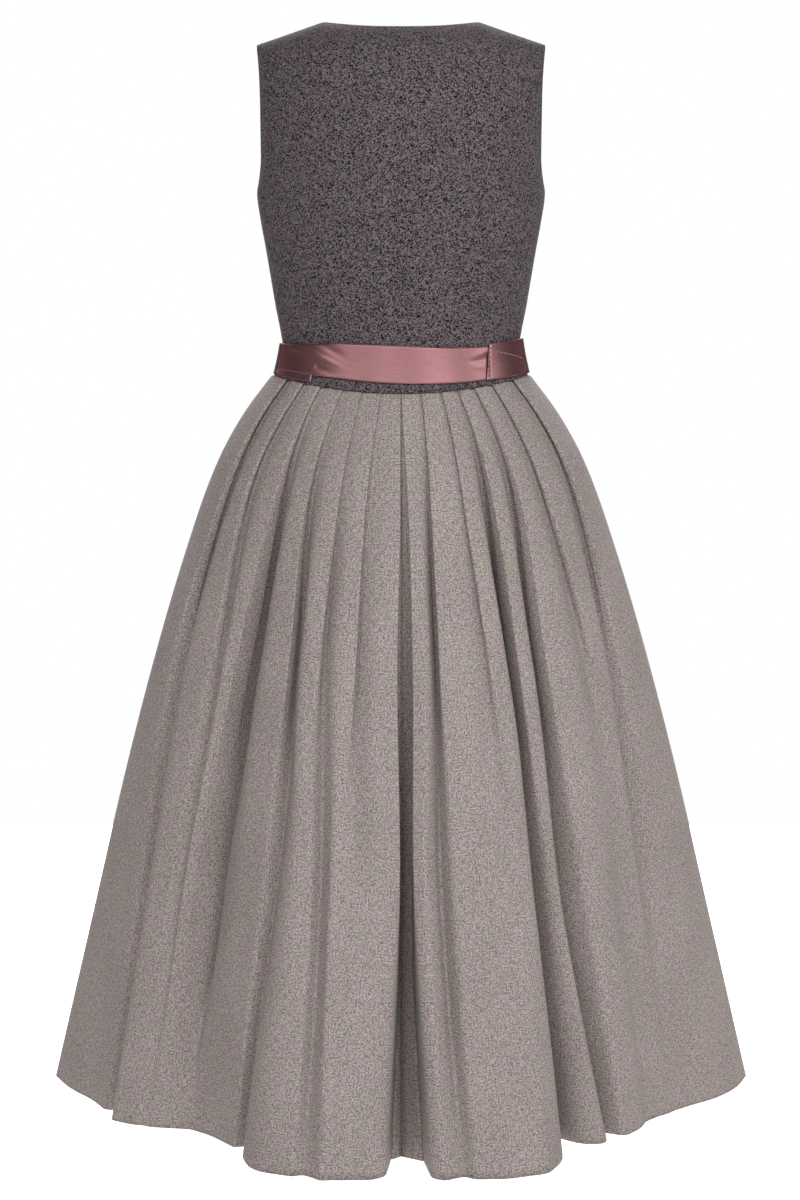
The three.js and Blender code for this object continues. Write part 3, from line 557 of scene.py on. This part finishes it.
tweed_thread = spun_thread("spun_thread_dark", DARK_THREAD)
on_cloth = CLOTH / 2 + THREAD_STANDS
above_underarm = np.where(np.concatenate([ring_heights > UNDERARM, shares > 0]))[0]
neck = np.abs(columns_x) < NECK_POINT[0] - 2
edge_rows = {"back": [
    inside_edge(back_middle[::-1, neck].swapaxes(0, 1), back_normal[::-1, neck].swapaxes(0, 1)),
    inside_edge(back_middle[above_underarm], back_normal[above_underarm]),
    inside_edge(back_middle[above_underarm, ::-1], back_normal[above_underarm, ::-1])]}
for side_name, (middle, normal) in fronts.items():
    first = 0 if side_name == "right" else np.argmax(ring_heights > NECKLINE[0, 0])
    edge_rows[f"{side_name}_front"] = [
        inside_edge(middle[first:], normal[first:]),
        inside_edge(middle[above_underarm, ::-1], normal[above_underarm, ::-1])]
for place, rows in edge_rows.items():
    stitches = sewn(f"{place}_edge_stitches", rows, EDGE_PITCH, EDGE_STITCH, EDGE_THREAD,
                    tweed_thread)
    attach(stitches, "root")

# ---- skirt ----
# Four panels of mid-weight grey flannel, laid in knife pleats that face an inverted pleat at the
# centre back and front. The pleats are stitched down only at the waist seam and open as they fall.
SKIRT_RINGS = np.array([  # drop below the waist seam, half width at the side, depth back, front
    (0, 134, 96, 94), (13, 144, 105, 102), (28, 155.5, 115, 111), (50, 170, 128, 124),
    (80, 186.5, 143, 138), (120, 203.5, 160, 154), (175, 222.5, 178, 171), (245, 244.5, 197, 189),
    (335, 270, 220, 211), (440, 297, 244, 234), (550, 323, 267, 256), (655, 348, 287, 276),
    (748, 370, 305, 293)])
SKIRT_LENGTH = 748.0
SKIRT_LEVELS = 104
CROWD_LEVELS = 1.15  # they stand closer near the waist
PANEL_APART = 137.0  # so that no two pleats show the same stretch of weave
STATIONS = (0, 0.15, 0.35, 0.65, 1)  # shares of the length
NEVER = 9
# One row for each pleat, from the centre out: its edge's angle at the five stations, then where it
# opens, where it has died out (shares of the length) and its depth once open.
FOLDS = {
    "back_left": [
        (0, 0.2, 0.9, 0.3, 2.1, 0.6, NEVER, 50), (9, 10, 10, 10, 9, 0.36, 0.8, 8),
        (17.5, 18, 18.2, 15.5, 15, 0.3, 1.2, 11), (27, 28.5, 26.5, 26.2, 30.1, 0.32, 1.4, 19),
        (38.5, 40.5, 44, 47.6, 48.5, 0.4, 1.03, 40), (49, 52.5, 51.5, 53, 56, 0.25, 0.8, 12),
        (63, 66, 71, 67, 65, 0.22, 1.3, 23)],
    "back_right": [
        (0.3, 2, 2.6, 2.35, 4.2, 0.6, NEVER, 50), (9, 8.5, 8.5, 8.5, 10, 0.34, 1.15, 17),
        (18, 18, 19.5, 20.5, 21, 0.3, 0.75, 7), (26, 27.5, 28.3, 30, 33.3, 0.4, 1.3, 37),
        (34.5, 37, 36.5, 38.5, 43, 0.38, 1.25, 31), (45, 48, 53, 55, 57, 0.24, 0.6, 10),
        (61, 66, 66, 66, 67, 0.24, 0.85, 16)],
    "front_left": [
        (0, 0, 0, 0.8, 3.8, 0.6, NEVER, 46), (9, 9.5, 10, 10, 10, 0.32, 0.9, 8),
        (18, 18.5, 19, 20, 22, 0.38, 1.2, 13), (27.5, 28.5, 29, 30, 31, 0.28, 0.8, 8),
        (38, 40, 41, 42, 44, 0.36, 1.25, 16), (49, 52, 53, 54, 55, 0.26, 0.75, 9),
        (62, 65, 68, 68, 68, 0.24, 1.2, 15)],
    "front_right": [
        (0, 0, 0, 0.6, 3.2, 0.6, NEVER, 46), (9, 9, 9, 9.5, 10, 0.34, 1.1, 8),
        (18, 18.5, 18, 18, 19, 0.28, 0.85, 8), (27.5, 29, 30, 31, 33, 0.38, 1.25, 15),
        (38, 39.5, 40, 42, 43, 0.3, 0.85, 9), (49, 51.5, 53, 55, 57, 0.3, 1.2, 14),
        (62, 65.5, 67, 67, 67, 0.22, 0.9, 12)],
}
# Slow waves of the hem: angle, and how far the cloth stands out from the ring there. At the
# centre it stands 4 mm in, and at the side seam on the ring.
HEM_WAVES = {
    "back_left": [(8, 14), (15, 13), (23, 3), (31, -46), (43, -70), (56, -34), (72, -38),
        (83, -18)],
    "back_right": [(8, 12), (20, 15), (24, 0), (31, -48), (40, -38), (54, -60), (68, -48),
        (81, -17)],
    "front_left": [(9, 12), (17, 10), (27, -30), (37, -12), (50, -48), (66, -36), (80, -12)],
    "front_right": [(10, 14), (22, 8), (34, -40), (47, -24), (61, -46), (76, -22)],
}
# Soft ripples between the folds: angle, width in degrees, share of the length where one starts,
# and its rise.
RIPPLES = {
    "back_left": [
        (5, 1.6, 0.62, 1.2), (21, 1.8, 0.5, -1.8), (29, 1.6, 0.45, 1.8), (33, 1.8, 0.4, -2.2),
        (37, 1.8, 0.45, 2.2), (48, 2.0, 0.5, 2.0), (52, 2.0, 0.5, -2.4), (59, 2.4, 0.6, 2.0),
        (75, 2.6, 0.5, -2.2), (80, 2.4, 0.6, 1.8)],
    "back_right": [
        (5.5, 1.5, 0.6, 1.4), (14, 2.0, 0.7, -1.4), (25, 1.8, 0.55, -1.6), (35, 1.5, 0.5, 1.6),
        (42, 2.0, 0.45, -2.4), (47, 2.0, 0.5, 2.0), (61, 2.4, 0.4, -2.2), (73, 2.6, 0.6, 1.8),
        (80, 2.4, 0.7, -1.6)],
    "front_left": [
        (6, 1.6, 0.6, 1.4), (15, 2.0, 0.5, -1.8), (25, 1.8, 0.55, 1.6), (36, 2.0, 0.5, -2.0),
        (49, 2.0, 0.45, 2.2), (60, 2.4, 0.6, -2.0), (76, 2.6, 0.5, 2.0)],
    "front_right": [
        (5, 1.6, 0.65, -1.2), (14, 2.0, 0.55, 1.6), (24, 1.8, 0.5, -1.8), (38, 2.0, 0.5, 2.0),
        (48, 2.0, 0.45, -2.2), (62, 2.4, 0.5, 2.0), (73, 2.6, 0.6, -1.8)],
}
FLANNEL = 1.0  # one layer, lying inside the solid's wall
PLEAT_STACK = 1.55  # the three layers of a pressed pleat lie this far apart
SIDE_STACKS = 0.2  # and each pleat nearer the side stands this much looser
PLEAT_LAP = 0.25  # its underlay, as a share of the way to the next pleat
WIDEST_LAP = 30  # counted over no more than this
PANEL_TILT, PANEL_PUFF = -2.4, 3.5  # a pressed panel slopes to the next pleat, an open one swells
PUFFED = 0.5  # shares of the length: where panels have rounded out,
OPENING, FADING = 0.3, 0.35  # over which a pleat opens and dies out,
LATE, LATE_GROWN, SOON_GROWN = 0.5, 0.86, 0.35  # and where a late and an early one is deepest
WAVE_POWER = 1.4  # the hem's waves grow faster towards it
# closed, lap, open, closed depth, open depth, and how round the cloth turns there when open
PLEAT_SECTION = [(-1.2, 0, -20, 1, 0.3, 12), (1, 1, -10, 1, 0.9, 6), (1, 1, -5.5, 0.5, 0.95, 4),
                 (0, 0, -1, 0.5, 0.5, 5), (0, 0, 4, 0, 0, 11)]
FACE_ENDS = (-2, -20)  # where a panel's face ends before the next pleat, closed and open
FULL_ROOM = 45  # an open pleat needs this much room to spread out fully
CENTRE_SPREAD = 0.35  # and the inverted one, sewn to its other half, spreads this much
FOLD_TURN = 0.8  # how far a closed pleat's folded edge is rounded
HEM_SOFTENS = 1.9  # open folds are this much rounder at the hem
FACE_ROUND = 400  # a panel's face is rounded as far as it goes
SHARPEST = 0.47  # at most this share of each side is rounded off
ARC_STEPS = 5


def skirt_section(quarter, drop):
    """One level of one quarter in plan: corner points, how far each is rounded, and its panel."""
    back = quarter.startswith("back")
    share = drop / SKIRT_LENGTH
    side = float(read_table(SKIRT_RINGS, 1, drop))
    depth = float(read_table(SKIRT_RINGS, 2 if back else 3, drop))
    waves = np.array([(0, -4), *HEM_WAVES[quarter], (90, 0)])
    folds = FOLDS[quarter]

    def grown(start, run):
        return float(smooth((share - start) / run))

    def place(angle, out, wave_angle):
        x, y = side * math.sin(math.radians(angle)), depth * math.cos(math.radians(angle))
        wave = share ** WAVE_POWER * float(read_table(waves, 1, wave_angle))
        wave += sum(rise * math.exp(-((wave_angle - centre) / wide) ** 2) * grown(start, OPENING)
                    for centre, wide, start, rise in RIPPLES[quarter])
        scale = 1 + (out + wave) / math.hypot(x, y)
        return x * scale, y * scale

    def degrees(length, angle):
        turn = math.radians(angle)
        return math.degrees(length / math.hypot(side * math.cos(turn), depth * math.sin(turn)))

    edges = [float(along(STATIONS, fold[:5], share)) for fold in folds]
    edges[0] = max(edges[0], degrees(1.15, 0))  # half the centre pleat's closed slit
    puff = mix(PANEL_TILT, PANEL_PUFF, grown(0, PUFFED))
    section = []
    for i, (edge, fold) in enumerate(zip(edges, folds)):
        after = edges[i + 1] if i + 1 < len(folds) else 90
        opens, fades, deep_open = fold[5:]
        room = (after - edge) / degrees(1, edge)
        lap = PLEAT_LAP * min(room, WIDEST_LAP) * min(1, max(0, 1 - share / opens))
        opened = grown(opens, OPENING)
        stacked = 1 + SIDE_STACKS * i
        deep = mix(2 * PLEAT_STACK * stacked, deep_open,
                   grown(0, LATE_GROWN if opens > LATE else SOON_GROWN))
        deep *= 1 - float(smooth((share - fades + FADING) / FADING))
        before = 0 if i == 0 else (edge - edges[i - 1]) / degrees(1, edge)
        spread_here = CENTRE_SPREAD if i == 0 else min(1, before / FULL_ROOM)
        for k, (closed, lapped, opened_at, shut, wide, turn) in enumerate(PLEAT_SECTION):
            across = mix(closed * stacked + lapped * lap, opened_at * spread_here, opened)
            angle = edge + degrees(across, edge)
            point = (angle, -deep * mix(shut, wide, opened), mix(edge, angle, opened))
            if i == 0 and k == 0:
                point = (0, -deep, 0)  # the two halves are sewn together here
            turn = mix(FOLD_TURN, turn * mix(1, HEM_SOFTENS, float(smooth(share * 2 - 1))), opened)
            section.append((place(*point), turn, i - 1 if k < 2 else i))
        end, on_face = 90, (0.3, 0.65)
        if i + 1 < len(folds):
            closed, opened_at = FACE_ENDS
            at = mix(closed, opened_at * min(1, room / FULL_ROOM), grown(folds[i + 1][5], OPENING))
            end, on_face = after + degrees(at, after), (0.58,)
        start = angle
        for at in on_face:
            angle = mix(start, end, at)
            section.append((place(angle, puff, angle), FACE_ROUND, i))
    section.append((place(90, 0, 90), 0, i))
    corners, rounds, panels = zip(*section)
    return np.array(corners), np.array(rounds), panels


def rounded(corners, rounds):
    """A level's line with its corners rounded, at the same number of points for every level."""
    steps = np.linalg.norm(np.diff(corners, axis=0), axis=1)
    leave, line, owner = corners[0], [corners[0]], [0]
    for i in range(1, len(corners) - 1):
        cut = min(rounds[i], SHARPEST * steps[i - 1], SHARPEST * steps[i])
        enter = corners[i] + (corners[i - 1] - corners[i]) * cut / steps[i - 1]
        exit_ = corners[i] + (corners[i + 1] - corners[i]) * cut / steps[i]
        straight = 3 if i % 6 in (5, 0) else 1  # more of them on each side of a panel's face
        line += [mix(leave, enter, s / (straight + 1)) for s in range(1, straight + 1)]
        for t in (s / (ARC_STEPS - 1) for s in range(ARC_STEPS)):
            line.append(enter * (1 - t) ** 2 + corners[i] * 2 * t * (1 - t) + exit_ * t * t)
        owner += [i] * (straight + ARC_STEPS)
        leave = exit_
    line += [mix(leave, corners[-1], s / 3) for s in range(1, 4)]
    return np.array(line), owner + [len(corners) - 1] * 3


def flannel():
    """Wool flannel of grey, mauve and olive wool, raised a little: matt, with fine slubs both
    ways. The slubs are drawn 1 mm wide, the real threads being 0.5 mm."""
    material, tree, shader = new_material("raised_wool_flannel")
    uv = add_node(tree, "ShaderNodeUVMap", {"uv_map": "threads"})
    # warp, weft, fibres, dye and cloud: millimetres across and along the threads, and detail
    sizes = ((1.5, 7, 1), (6, 1.5, 1), (1.5, 1.5, 1), (16, 22, 1), (60, 90, 2))
    slubs = []
    for across, along_thread, detail in sizes:
        stretched = add_node(tree, "ShaderNodeMapping", None,
                             {"Scale": (1 / across, 1 / along_thread, 1)}, {"Vector": uv})
        slubs.append(add_node(tree, "ShaderNodeTexNoise", FLAT,
                              {"Scale": 1.0, "Detail": detail, "Roughness": 0.6},
                              {"Vector": stretched}))
    warp, weft, fibres, dye, cloud = slubs
    threads = add_node(tree, "ShaderNodeMix", None, {"Factor": 0.5},
                       {"A": warp, "B": weft})
    grain = add_node(tree, "ShaderNodeMix", None, {"Factor": 0.6},
                     {"A": threads, "B": fibres})
    tint = add_node(tree, "ShaderNodeValToRGB", links={"Fac": dye})
    colour_bands(tint, (0.25, 0.5, 0.75), FLANNEL_TINTS)
    spread_out = add_node(tree, "ShaderNodeMapRange", None,
                          {"From Min": 0.36, "From Max": 0.64, "To Min": 0.48, "To Max": 1.54},
                          {"Value": grain})
    clouded = add_node(tree, "ShaderNodeMapRange", None,
                       {"From Min": 0.35, "From Max": 0.65, "To Min": 0.96, "To Max": 1.04},
                       {"Value": cloud})
    amount = add_node(tree, "ShaderNodeMath", {"operation": "MULTIPLY"}, None,
                      {0: spread_out, 1: clouded})
    yarn = add_node(tree, "ShaderNodeVectorMath", {"operation": "SCALE"}, None,
                    {0: tint, "Scale": amount})
    weave_shader(tree, shader, yarn, grain, {"Strength": 0.35, "Distance": 0.0003},
                 {"Roughness": 0.92, "Specular IOR Level": 0.1, "Sheen Weight": 0.02,
                  "Sheen Roughness": 0.5})
    return material


FLANNEL_TINTS = ("#857e77", "#867d7b", "#897d7d")  # olive, grey and mauve
flannel_cloth = flannel()
drops = SKIRT_LENGTH * np.linspace(0, 1, SKIRT_LEVELS) ** CROWD_LEVELS
for quarter in FOLDS:
    back = quarter.startswith("back")
    faces_to = (1 if quarter.endswith("left") else -1, 1 if back else -1)
    plan = []
    for drop in drops:
        corners, rounds, panels = skirt_section(quarter, drop)
        line, owner = rounded(corners, rounds)
        plan.append(line)
    plan = np.array(plan)
    tangent = np.gradient(plan, axis=1)
    plan_normal = unit(np.stack([-tangent[..., 1], tangent[..., 0]], -1))
    plan_normal[:, 0], plan_normal[:, -1] = (0, 1), (1, 0)
    side = read_table(SKIRT_RINGS, 1, drops)[:, None]
    depth = read_table(SKIRT_RINGS, 2 if back else 3, drops)[:, None]
    turn = np.arctan2(plan[..., 0] / side, plan[..., 1] / depth)
    dip = (BACK_DIP if back else FRONT_DIP) * np.cos(turn) ** 2
    dip *= (1 - drops / SKIRT_LENGTH)[:, None]
    height = WAIST_SEAM - SEAM / 2 - drops[:, None] - dip
    middle = np.concatenate([plan * faces_to, height[..., None]], -1)
    normal = np.concatenate([plan_normal * faces_to, np.zeros_like(middle[..., :1])], -1)
    # the threads run true to the middle of each pleat's face, and break at its inner fold
    panel_of_point = [max(0, panels[o]) for o in owner]
    threads = []
    for k in range(len(FOLDS[quarter])):
        own = [j for j, p in enumerate(panel_of_point) if p == k]
        threads.append(thread_lengths(middle, own[len(own) // 2]) + (PANEL_APART * k, 0))
    panel = cloth_piece(f"{quarter}_panel", middle, normal, FLANNEL, threads, flannel_cloth,
                        panel_of_point[1:])
    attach(panel, "root")
    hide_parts(f"skirt_{quarter}")

# ---- buttons ----
# Seven domed horn-coloured buttons down the lap, each turned with a raised rim and sewn through
# a shank.
BUTTON_RADIUS, BUTTON_THICK, BUTTON_SHANK = 6.5, 2.8, 0.7
BUTTON_HEIGHTS = [mix(-178.0, -306.0, i / 6) for i in range(7)]
BUTTON_TURNS = 48
HORN_SHADES = ("#4b4947", "#8a8682")
# radius and height of the turned profile, as shares of the button's radius and thickness
BUTTON_PROFILE = [(0.5, 0), (0.92, 0), (0.98, 0.2), (1, 0.45), (0.98, 0.68), (0.93, 0.83),
                  (0.86, 0.88), (0.79, 0.84), (0.74, 0.74), (0.68, 0.72), (0.55, 0.8), (0.35, 0.92),
                  (0.15, 0.99)]

# Turned and polished horn: a soft gloss over slow marbling between two greys.
horn, tree, shader = new_material("turned_horn")
place_in = add_node(tree, "ShaderNodeTexCoord").outputs["Object"]
marbling = add_node(tree, "ShaderNodeTexNoise", None,
                    {"Scale": 260.0, "Detail": 4.0, "Distortion": 1.2}, {"Vector": place_in})
marbled = add_node(tree, "ShaderNodeValToRGB", links={"Fac": marbling})
colour_bands(marbled, (0.35, 0.68), HORN_SHADES)
tree.links.new(marbled.outputs["Color"], shader.inputs["Base Color"])
set_sockets(shader, {"Roughness": 0.32, "IOR": 1.55})

for i, height in enumerate(BUTTON_HEIGHTS):
    below, above, centre = (bodice_point(0.0, height + step, False) for step in (-5, 5, 0))
    up = (above - below) / np.linalg.norm(above - below)
    outward = np.array([0, -up[2], up[1]])
    level = np.cross(up, outward)
    foot = centre + outward * (LAP_STEP + HALF_WALL + BUTTON_SHANK)
    points = []
    for radius, rise in BUTTON_PROFILE:
        for s in range(BUTTON_TURNS):
            turn = 2 * math.pi * s / BUTTON_TURNS
            ring = (level * math.cos(turn) + up * math.sin(turn)) * radius * BUTTON_RADIUS
            points.append((foot + ring + outward * rise * BUTTON_THICK) * MM)
    top_ring = len(points) - BUTTON_TURNS
    points += [foot * MM, (foot + outward * BUTTON_THICK) * MM]
    sides = [(s, (s + 1) % BUTTON_TURNS) for s in range(BUTTON_TURNS)]
    faces = [(a + s, a + t, a + BUTTON_TURNS + t, a + BUTTON_TURNS + s)
             for a in range(0, top_ring, BUTTON_TURNS) for s, t in sides]
    for s, t in sides:
        faces += [(len(points) - 2, t, s), (len(points) - 1, top_ring + s, top_ring + t)]
    mesh = bpy.data.meshes.new(f"front_button_{i + 1}")
    mesh.from_pydata([tuple(p) for p in points], [], faces)
    mesh.shade_smooth()
    mesh.materials.append(horn)
    button = add_object(mesh.name, mesh)
    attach(button, "root")
    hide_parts(f"button_{i + 1}")

# ---- buttonholes ----
# One level buttonhole behind each button in the right front, closely worked round its slit in the
# same thread as the edges, so that it reads as a raised purled oval.
HOLE_FROM, HOLE_TO = 2.0, -12.5  # across the lap, towards the right
HOLE_HALF = 1.3
HOLE_PITCH = 0.75
HOLE_THREAD = 0.85
holes = []
for height in BUTTON_HEIGHTS:
    half_width = float(read_table(BODICE_RINGS, 1, height))
    middle_x, half_long = (HOLE_FROM + HOLE_TO) / 2, (HOLE_FROM - HOLE_TO) / 2
    loop = []
    for turn in np.linspace(0, 2 * math.pi, 41):
        x = middle_x + half_long * np.sign(math.cos(turn)) * abs(math.cos(turn)) ** 0.6
        point = bodice_point(np.degrees(np.arcsin(x / half_width)),
                             height + HOLE_HALF * math.sin(turn), False)
        point[1] -= lap_step(x) + on_cloth
        loop.append(point)
    holes.append(loop)
buttonholes = sewn("worked_buttonholes", holes, HOLE_PITCH, HOLE_PITCH * 1.1, HOLE_THREAD,
                   tweed_thread)
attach(buttonholes, "root")

# ---- ribbon ----
# A 35 mm mauve-rose satin ribbon, wound not quite twice round the waist and pinned in place. It
# starts under itself at the left back and ends in a folded edge at the right back.
RIBBON = 0.9
RIBBON_WIDE = 35
# Degrees round from the centre back towards the left, height of the top and foot, and the layer.
RIBBON_TURNS = np.array([
    (44, -327, -357, 0), (75, -327, -358, 0), (120, -326, -357, 0), (180, -327, -359, 0),
    (240, -325, -357, 0), (285, -323, -356, 0), (318, -322, -354, 0), (360, -315, -350, 0.15),
    (388, -316, -349, 0.75), (402, -320, -350, 1), (435, -326, -352, 1), (480, -326, -354, 1),
    (540, -327, -359, 1), (600, -323, -356, 1), (645, -321, -357, 1), (674, -320, -354.5, 1)])
RIBBON_STEP = 0.9  # degrees between columns,
FINE_END, FINE_COLUMNS = 14.0, 64  # and finer over the last ones before the folded end
RIBBON_ACROSS = 22
RIBBON_INNER = HALF_WALL + CLOTH / 2 + 0.5  # the first layer, off the middle of the bodice
RIBBON_LAYER = 1.35
END_ASKEW, END_FROM, END_RUN = 4.0, 650, 24  # degrees
TAUT = 0.85  # how far it is drawn straight across the waist's hollow
ALONE = (316, 403)  # degrees round where no other turn lies beneath it
SINKS_ALONE, SINKS = -1.0, -0.3


def satin():
    """Polyester satin ribbon, warp-faced: its floats run along it, so it is smooth and catches
    a soft light across the width. Fine weft ribs, drawn about 1.2 mm apart, cross it."""
    material, tree, shader = new_material("woven_satin_ribbon")
    uv = add_node(tree, "ShaderNodeUVMap", {"uv_map": "threads"})
    stretched = add_node(tree, "ShaderNodeMapping", None, {"Scale": (0.05, 1.1, 1)}, {"Vector": uv})
    floats = add_node(tree, "ShaderNodeTexNoise", FLAT,
                      {"Scale": 1.0, "Detail": 2.0, "Roughness": 0.6}, {"Vector": stretched})
    upright = add_node(tree, "ShaderNodeMapping", None, {"Scale": (0.8, 0.12, 1)}, {"Vector": uv})
    wefts = add_node(tree, "ShaderNodeTexNoise", FLAT,
                     {"Scale": 1.0, "Detail": 2.0}, {"Vector": upright})
    weave = add_node(tree, "ShaderNodeMix", None, {"Factor": 0.5},
                     {"A": floats, "B": wefts})
    spread_out = add_node(tree, "ShaderNodeMapRange", None,
                          {"From Min": 0.35, "From Max": 0.65, "To Min": 0.9, "To Max": 1.1},
                          {"Value": weave})
    dyed = add_node(tree, "ShaderNodeVectorMath", {"operation": "SCALE"},
                    {0: linear(SATIN_ROSE)[:3]}, {"Scale": spread_out})
    # a warp-faced satin throws light back tinted with its own dye, as a part metal does
    weave_shader(tree, shader, dyed, weave, {"Strength": 0.12, "Distance": 0.0002},
                 {"Metallic": 0.95, "Roughness": 0.46, "Anisotropic": 0.6,
                  "Anisotropic Rotation": 0.25, "Specular Tint": linear(SATIN_EDGE),
                  "Coat Weight": 0.28, "Coat Roughness": 0.38, "Sheen Weight": 0.02})
    return material


SATIN_ROSE = "#8f6467"
SATIN_EDGE = "#382a2a"
satin_ribbon = satin()
turns = np.concatenate([np.arange(RIBBON_TURNS[0, 0], RIBBON_TURNS[-1, 0] - FINE_END, RIBBON_STEP),
                        np.linspace(RIBBON_TURNS[-1, 0] - FINE_END, RIBBON_TURNS[-1, 0],
                                    FINE_COLUMNS)])
tops, feet, layers = (read_table(RIBBON_TURNS, i, turns) for i in (1, 2, 3))
rise = np.linspace(0, 1, RIBBON_ACROSS + 1)
heights = feet[:, None] + (tops - feet)[:, None] * rise
# the end is folded under a little askew, further round at its foot
askew = END_ASKEW * smooth((turns[:, None] - END_FROM) / END_RUN) * (1.2 - rise)
turned = np.radians(turns[:, None] + askew)
cosine = np.cos(turned)
from_centre = np.degrees(np.arcsin(np.sin(turned)))
ribbon_back = cosine >= 0
ribbon_middle = np.where(ribbon_back[..., None], bodice_point(from_centre, heights, True),
                         bodice_point(from_centre, heights, False))
ring_side, depth_back, depth_front = (read_table(BODICE_RINGS, i, heights) for i in (1, 2, 3))
ring_depth = np.where(ribbon_back, depth_back, depth_front)
level_out = unit(np.stack([ribbon_middle[..., 0] / ring_side ** 2,
                           ribbon_middle[..., 1] / ring_depth ** 2], -1))
stand = RIBBON_INNER + RIBBON_LAYER * np.clip(layers, 0, 1)[:, None]
stand = stand + np.where(ribbon_back, 0, lap_step(ribbon_middle[..., 0]))
ribbon_middle[..., :2] += level_out * stand[..., None]
# pulled taut, it bridges most of the waist's hollow
foot_to_top = ribbon_middle[:, -1:] - ribbon_middle[:, :1]
ribbon_middle = mix(ribbon_middle, ribbon_middle[:, :1] + foot_to_top * rise[:, None], TAUT)
ribbon_normal = out_of_cloth(ribbon_middle)
# creases pulled into the outer turn: degrees round, share of the width, lean, length, width, lift
RIBBON_CREASES = [
    (399, 0.60, 24, 20, 2.2, 1.1), (395, 0.86, 26, 16, 3.0, -1.0), (405, 0.36, 20, 26, 3.4, -1.0),
    (400, 0.10, 8, 24, 3.4, 0.4), (420, 0.86, 16, 16, 2.4, 0.6), (320, 0.62, -6, 10, 2.6, -1.1),
    (319, 0.82, -14, 10, 2.4, 1.0), (322, 0.40, 12, 9, 2.2, 0.35), (674, 0.5, 84, 18, 0.9, 0.9),
    (672.6, 0.5, 84, 18, 0.8, -0.35), (660, 0.30, 10, 14, 2.6, 0.35), (560, 0.6, 4, 30, 3.5, 0.5),
    (500, 0.4, -5, 34, 3.5, 0.6), (470, 0.7, 5, 30, 3.2, -0.3), (615, 0.35, -6, 26, 3.0, 0.5),
]
run_mm = run_lengths(ribbon_middle[:, RIBBON_ACROSS // 2])
deepest = np.where((turns > ALONE[0]) & (turns < ALONE[1]), SINKS_ALONE, SINKS)[:, None]
for at_turn, at_width, lean, long, wide, lift in RIBBON_CREASES:
    dx = run_mm[:, None] - np.interp(at_turn, turns, run_mm)
    dz = (rise - at_width) * RIBBON_WIDE
    swell = long_swell(dx, dz, lean, long, wide, lift)
    ribbon_middle = ribbon_middle + ribbon_normal * np.maximum(swell, deepest)[..., None]
ribbon_uv = thread_lengths(ribbon_middle, 0)[..., ::-1]  # its warp runs round the waist
belt = cloth_piece("satin_ribbon", ribbon_middle, ribbon_normal, RIBBON, ribbon_uv, satin_ribbon)
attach(belt, "root")
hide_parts("belt_ribbon")

# ---- ribbon stitches ----
# A few pale hand stitches: one slanting row that fixes the first turn beside the folded end, and
# one down the fold itself.
HAND_PITCH, HAND_STITCH, HAND_THREAD = 4.4, 1.9, 0.75
HAND_STANDS = 0.5  # the thread's middle, above the middle of the ribbon
PALE_THREAD = ("#c9a3a5", "#efd9d8")
# Degrees round and share of the width at the row's two ends.
HAND_ROWS = [((668, 0.74), (649, 0.47)), ((673.4, 0.94), (672.6, 0.06))]
rose_thread = spun_thread("spun_thread_pale_rose", PALE_THREAD)
hand_rows = []
for (from_turn, from_share), (to_turn, to_share) in HAND_ROWS:
    row = []
    for step in np.linspace(0, 1, 12):
        nearest = np.argmin(np.abs(turns - mix(from_turn, to_turn, step)))
        face = (ribbon_middle + ribbon_normal * HAND_STANDS)[nearest]
        at_width = mix(from_share, to_share, step)
        row.append(np.array([np.interp(at_width, rise, face[:, k]) for k in range(3)]))
    hand_rows.append(row)
hand_stitches = sewn("ribbon_hand_stitches", hand_rows, HAND_PITCH, HAND_STITCH, HAND_THREAD,
                     rose_thread)
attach(hand_stitches, "root")
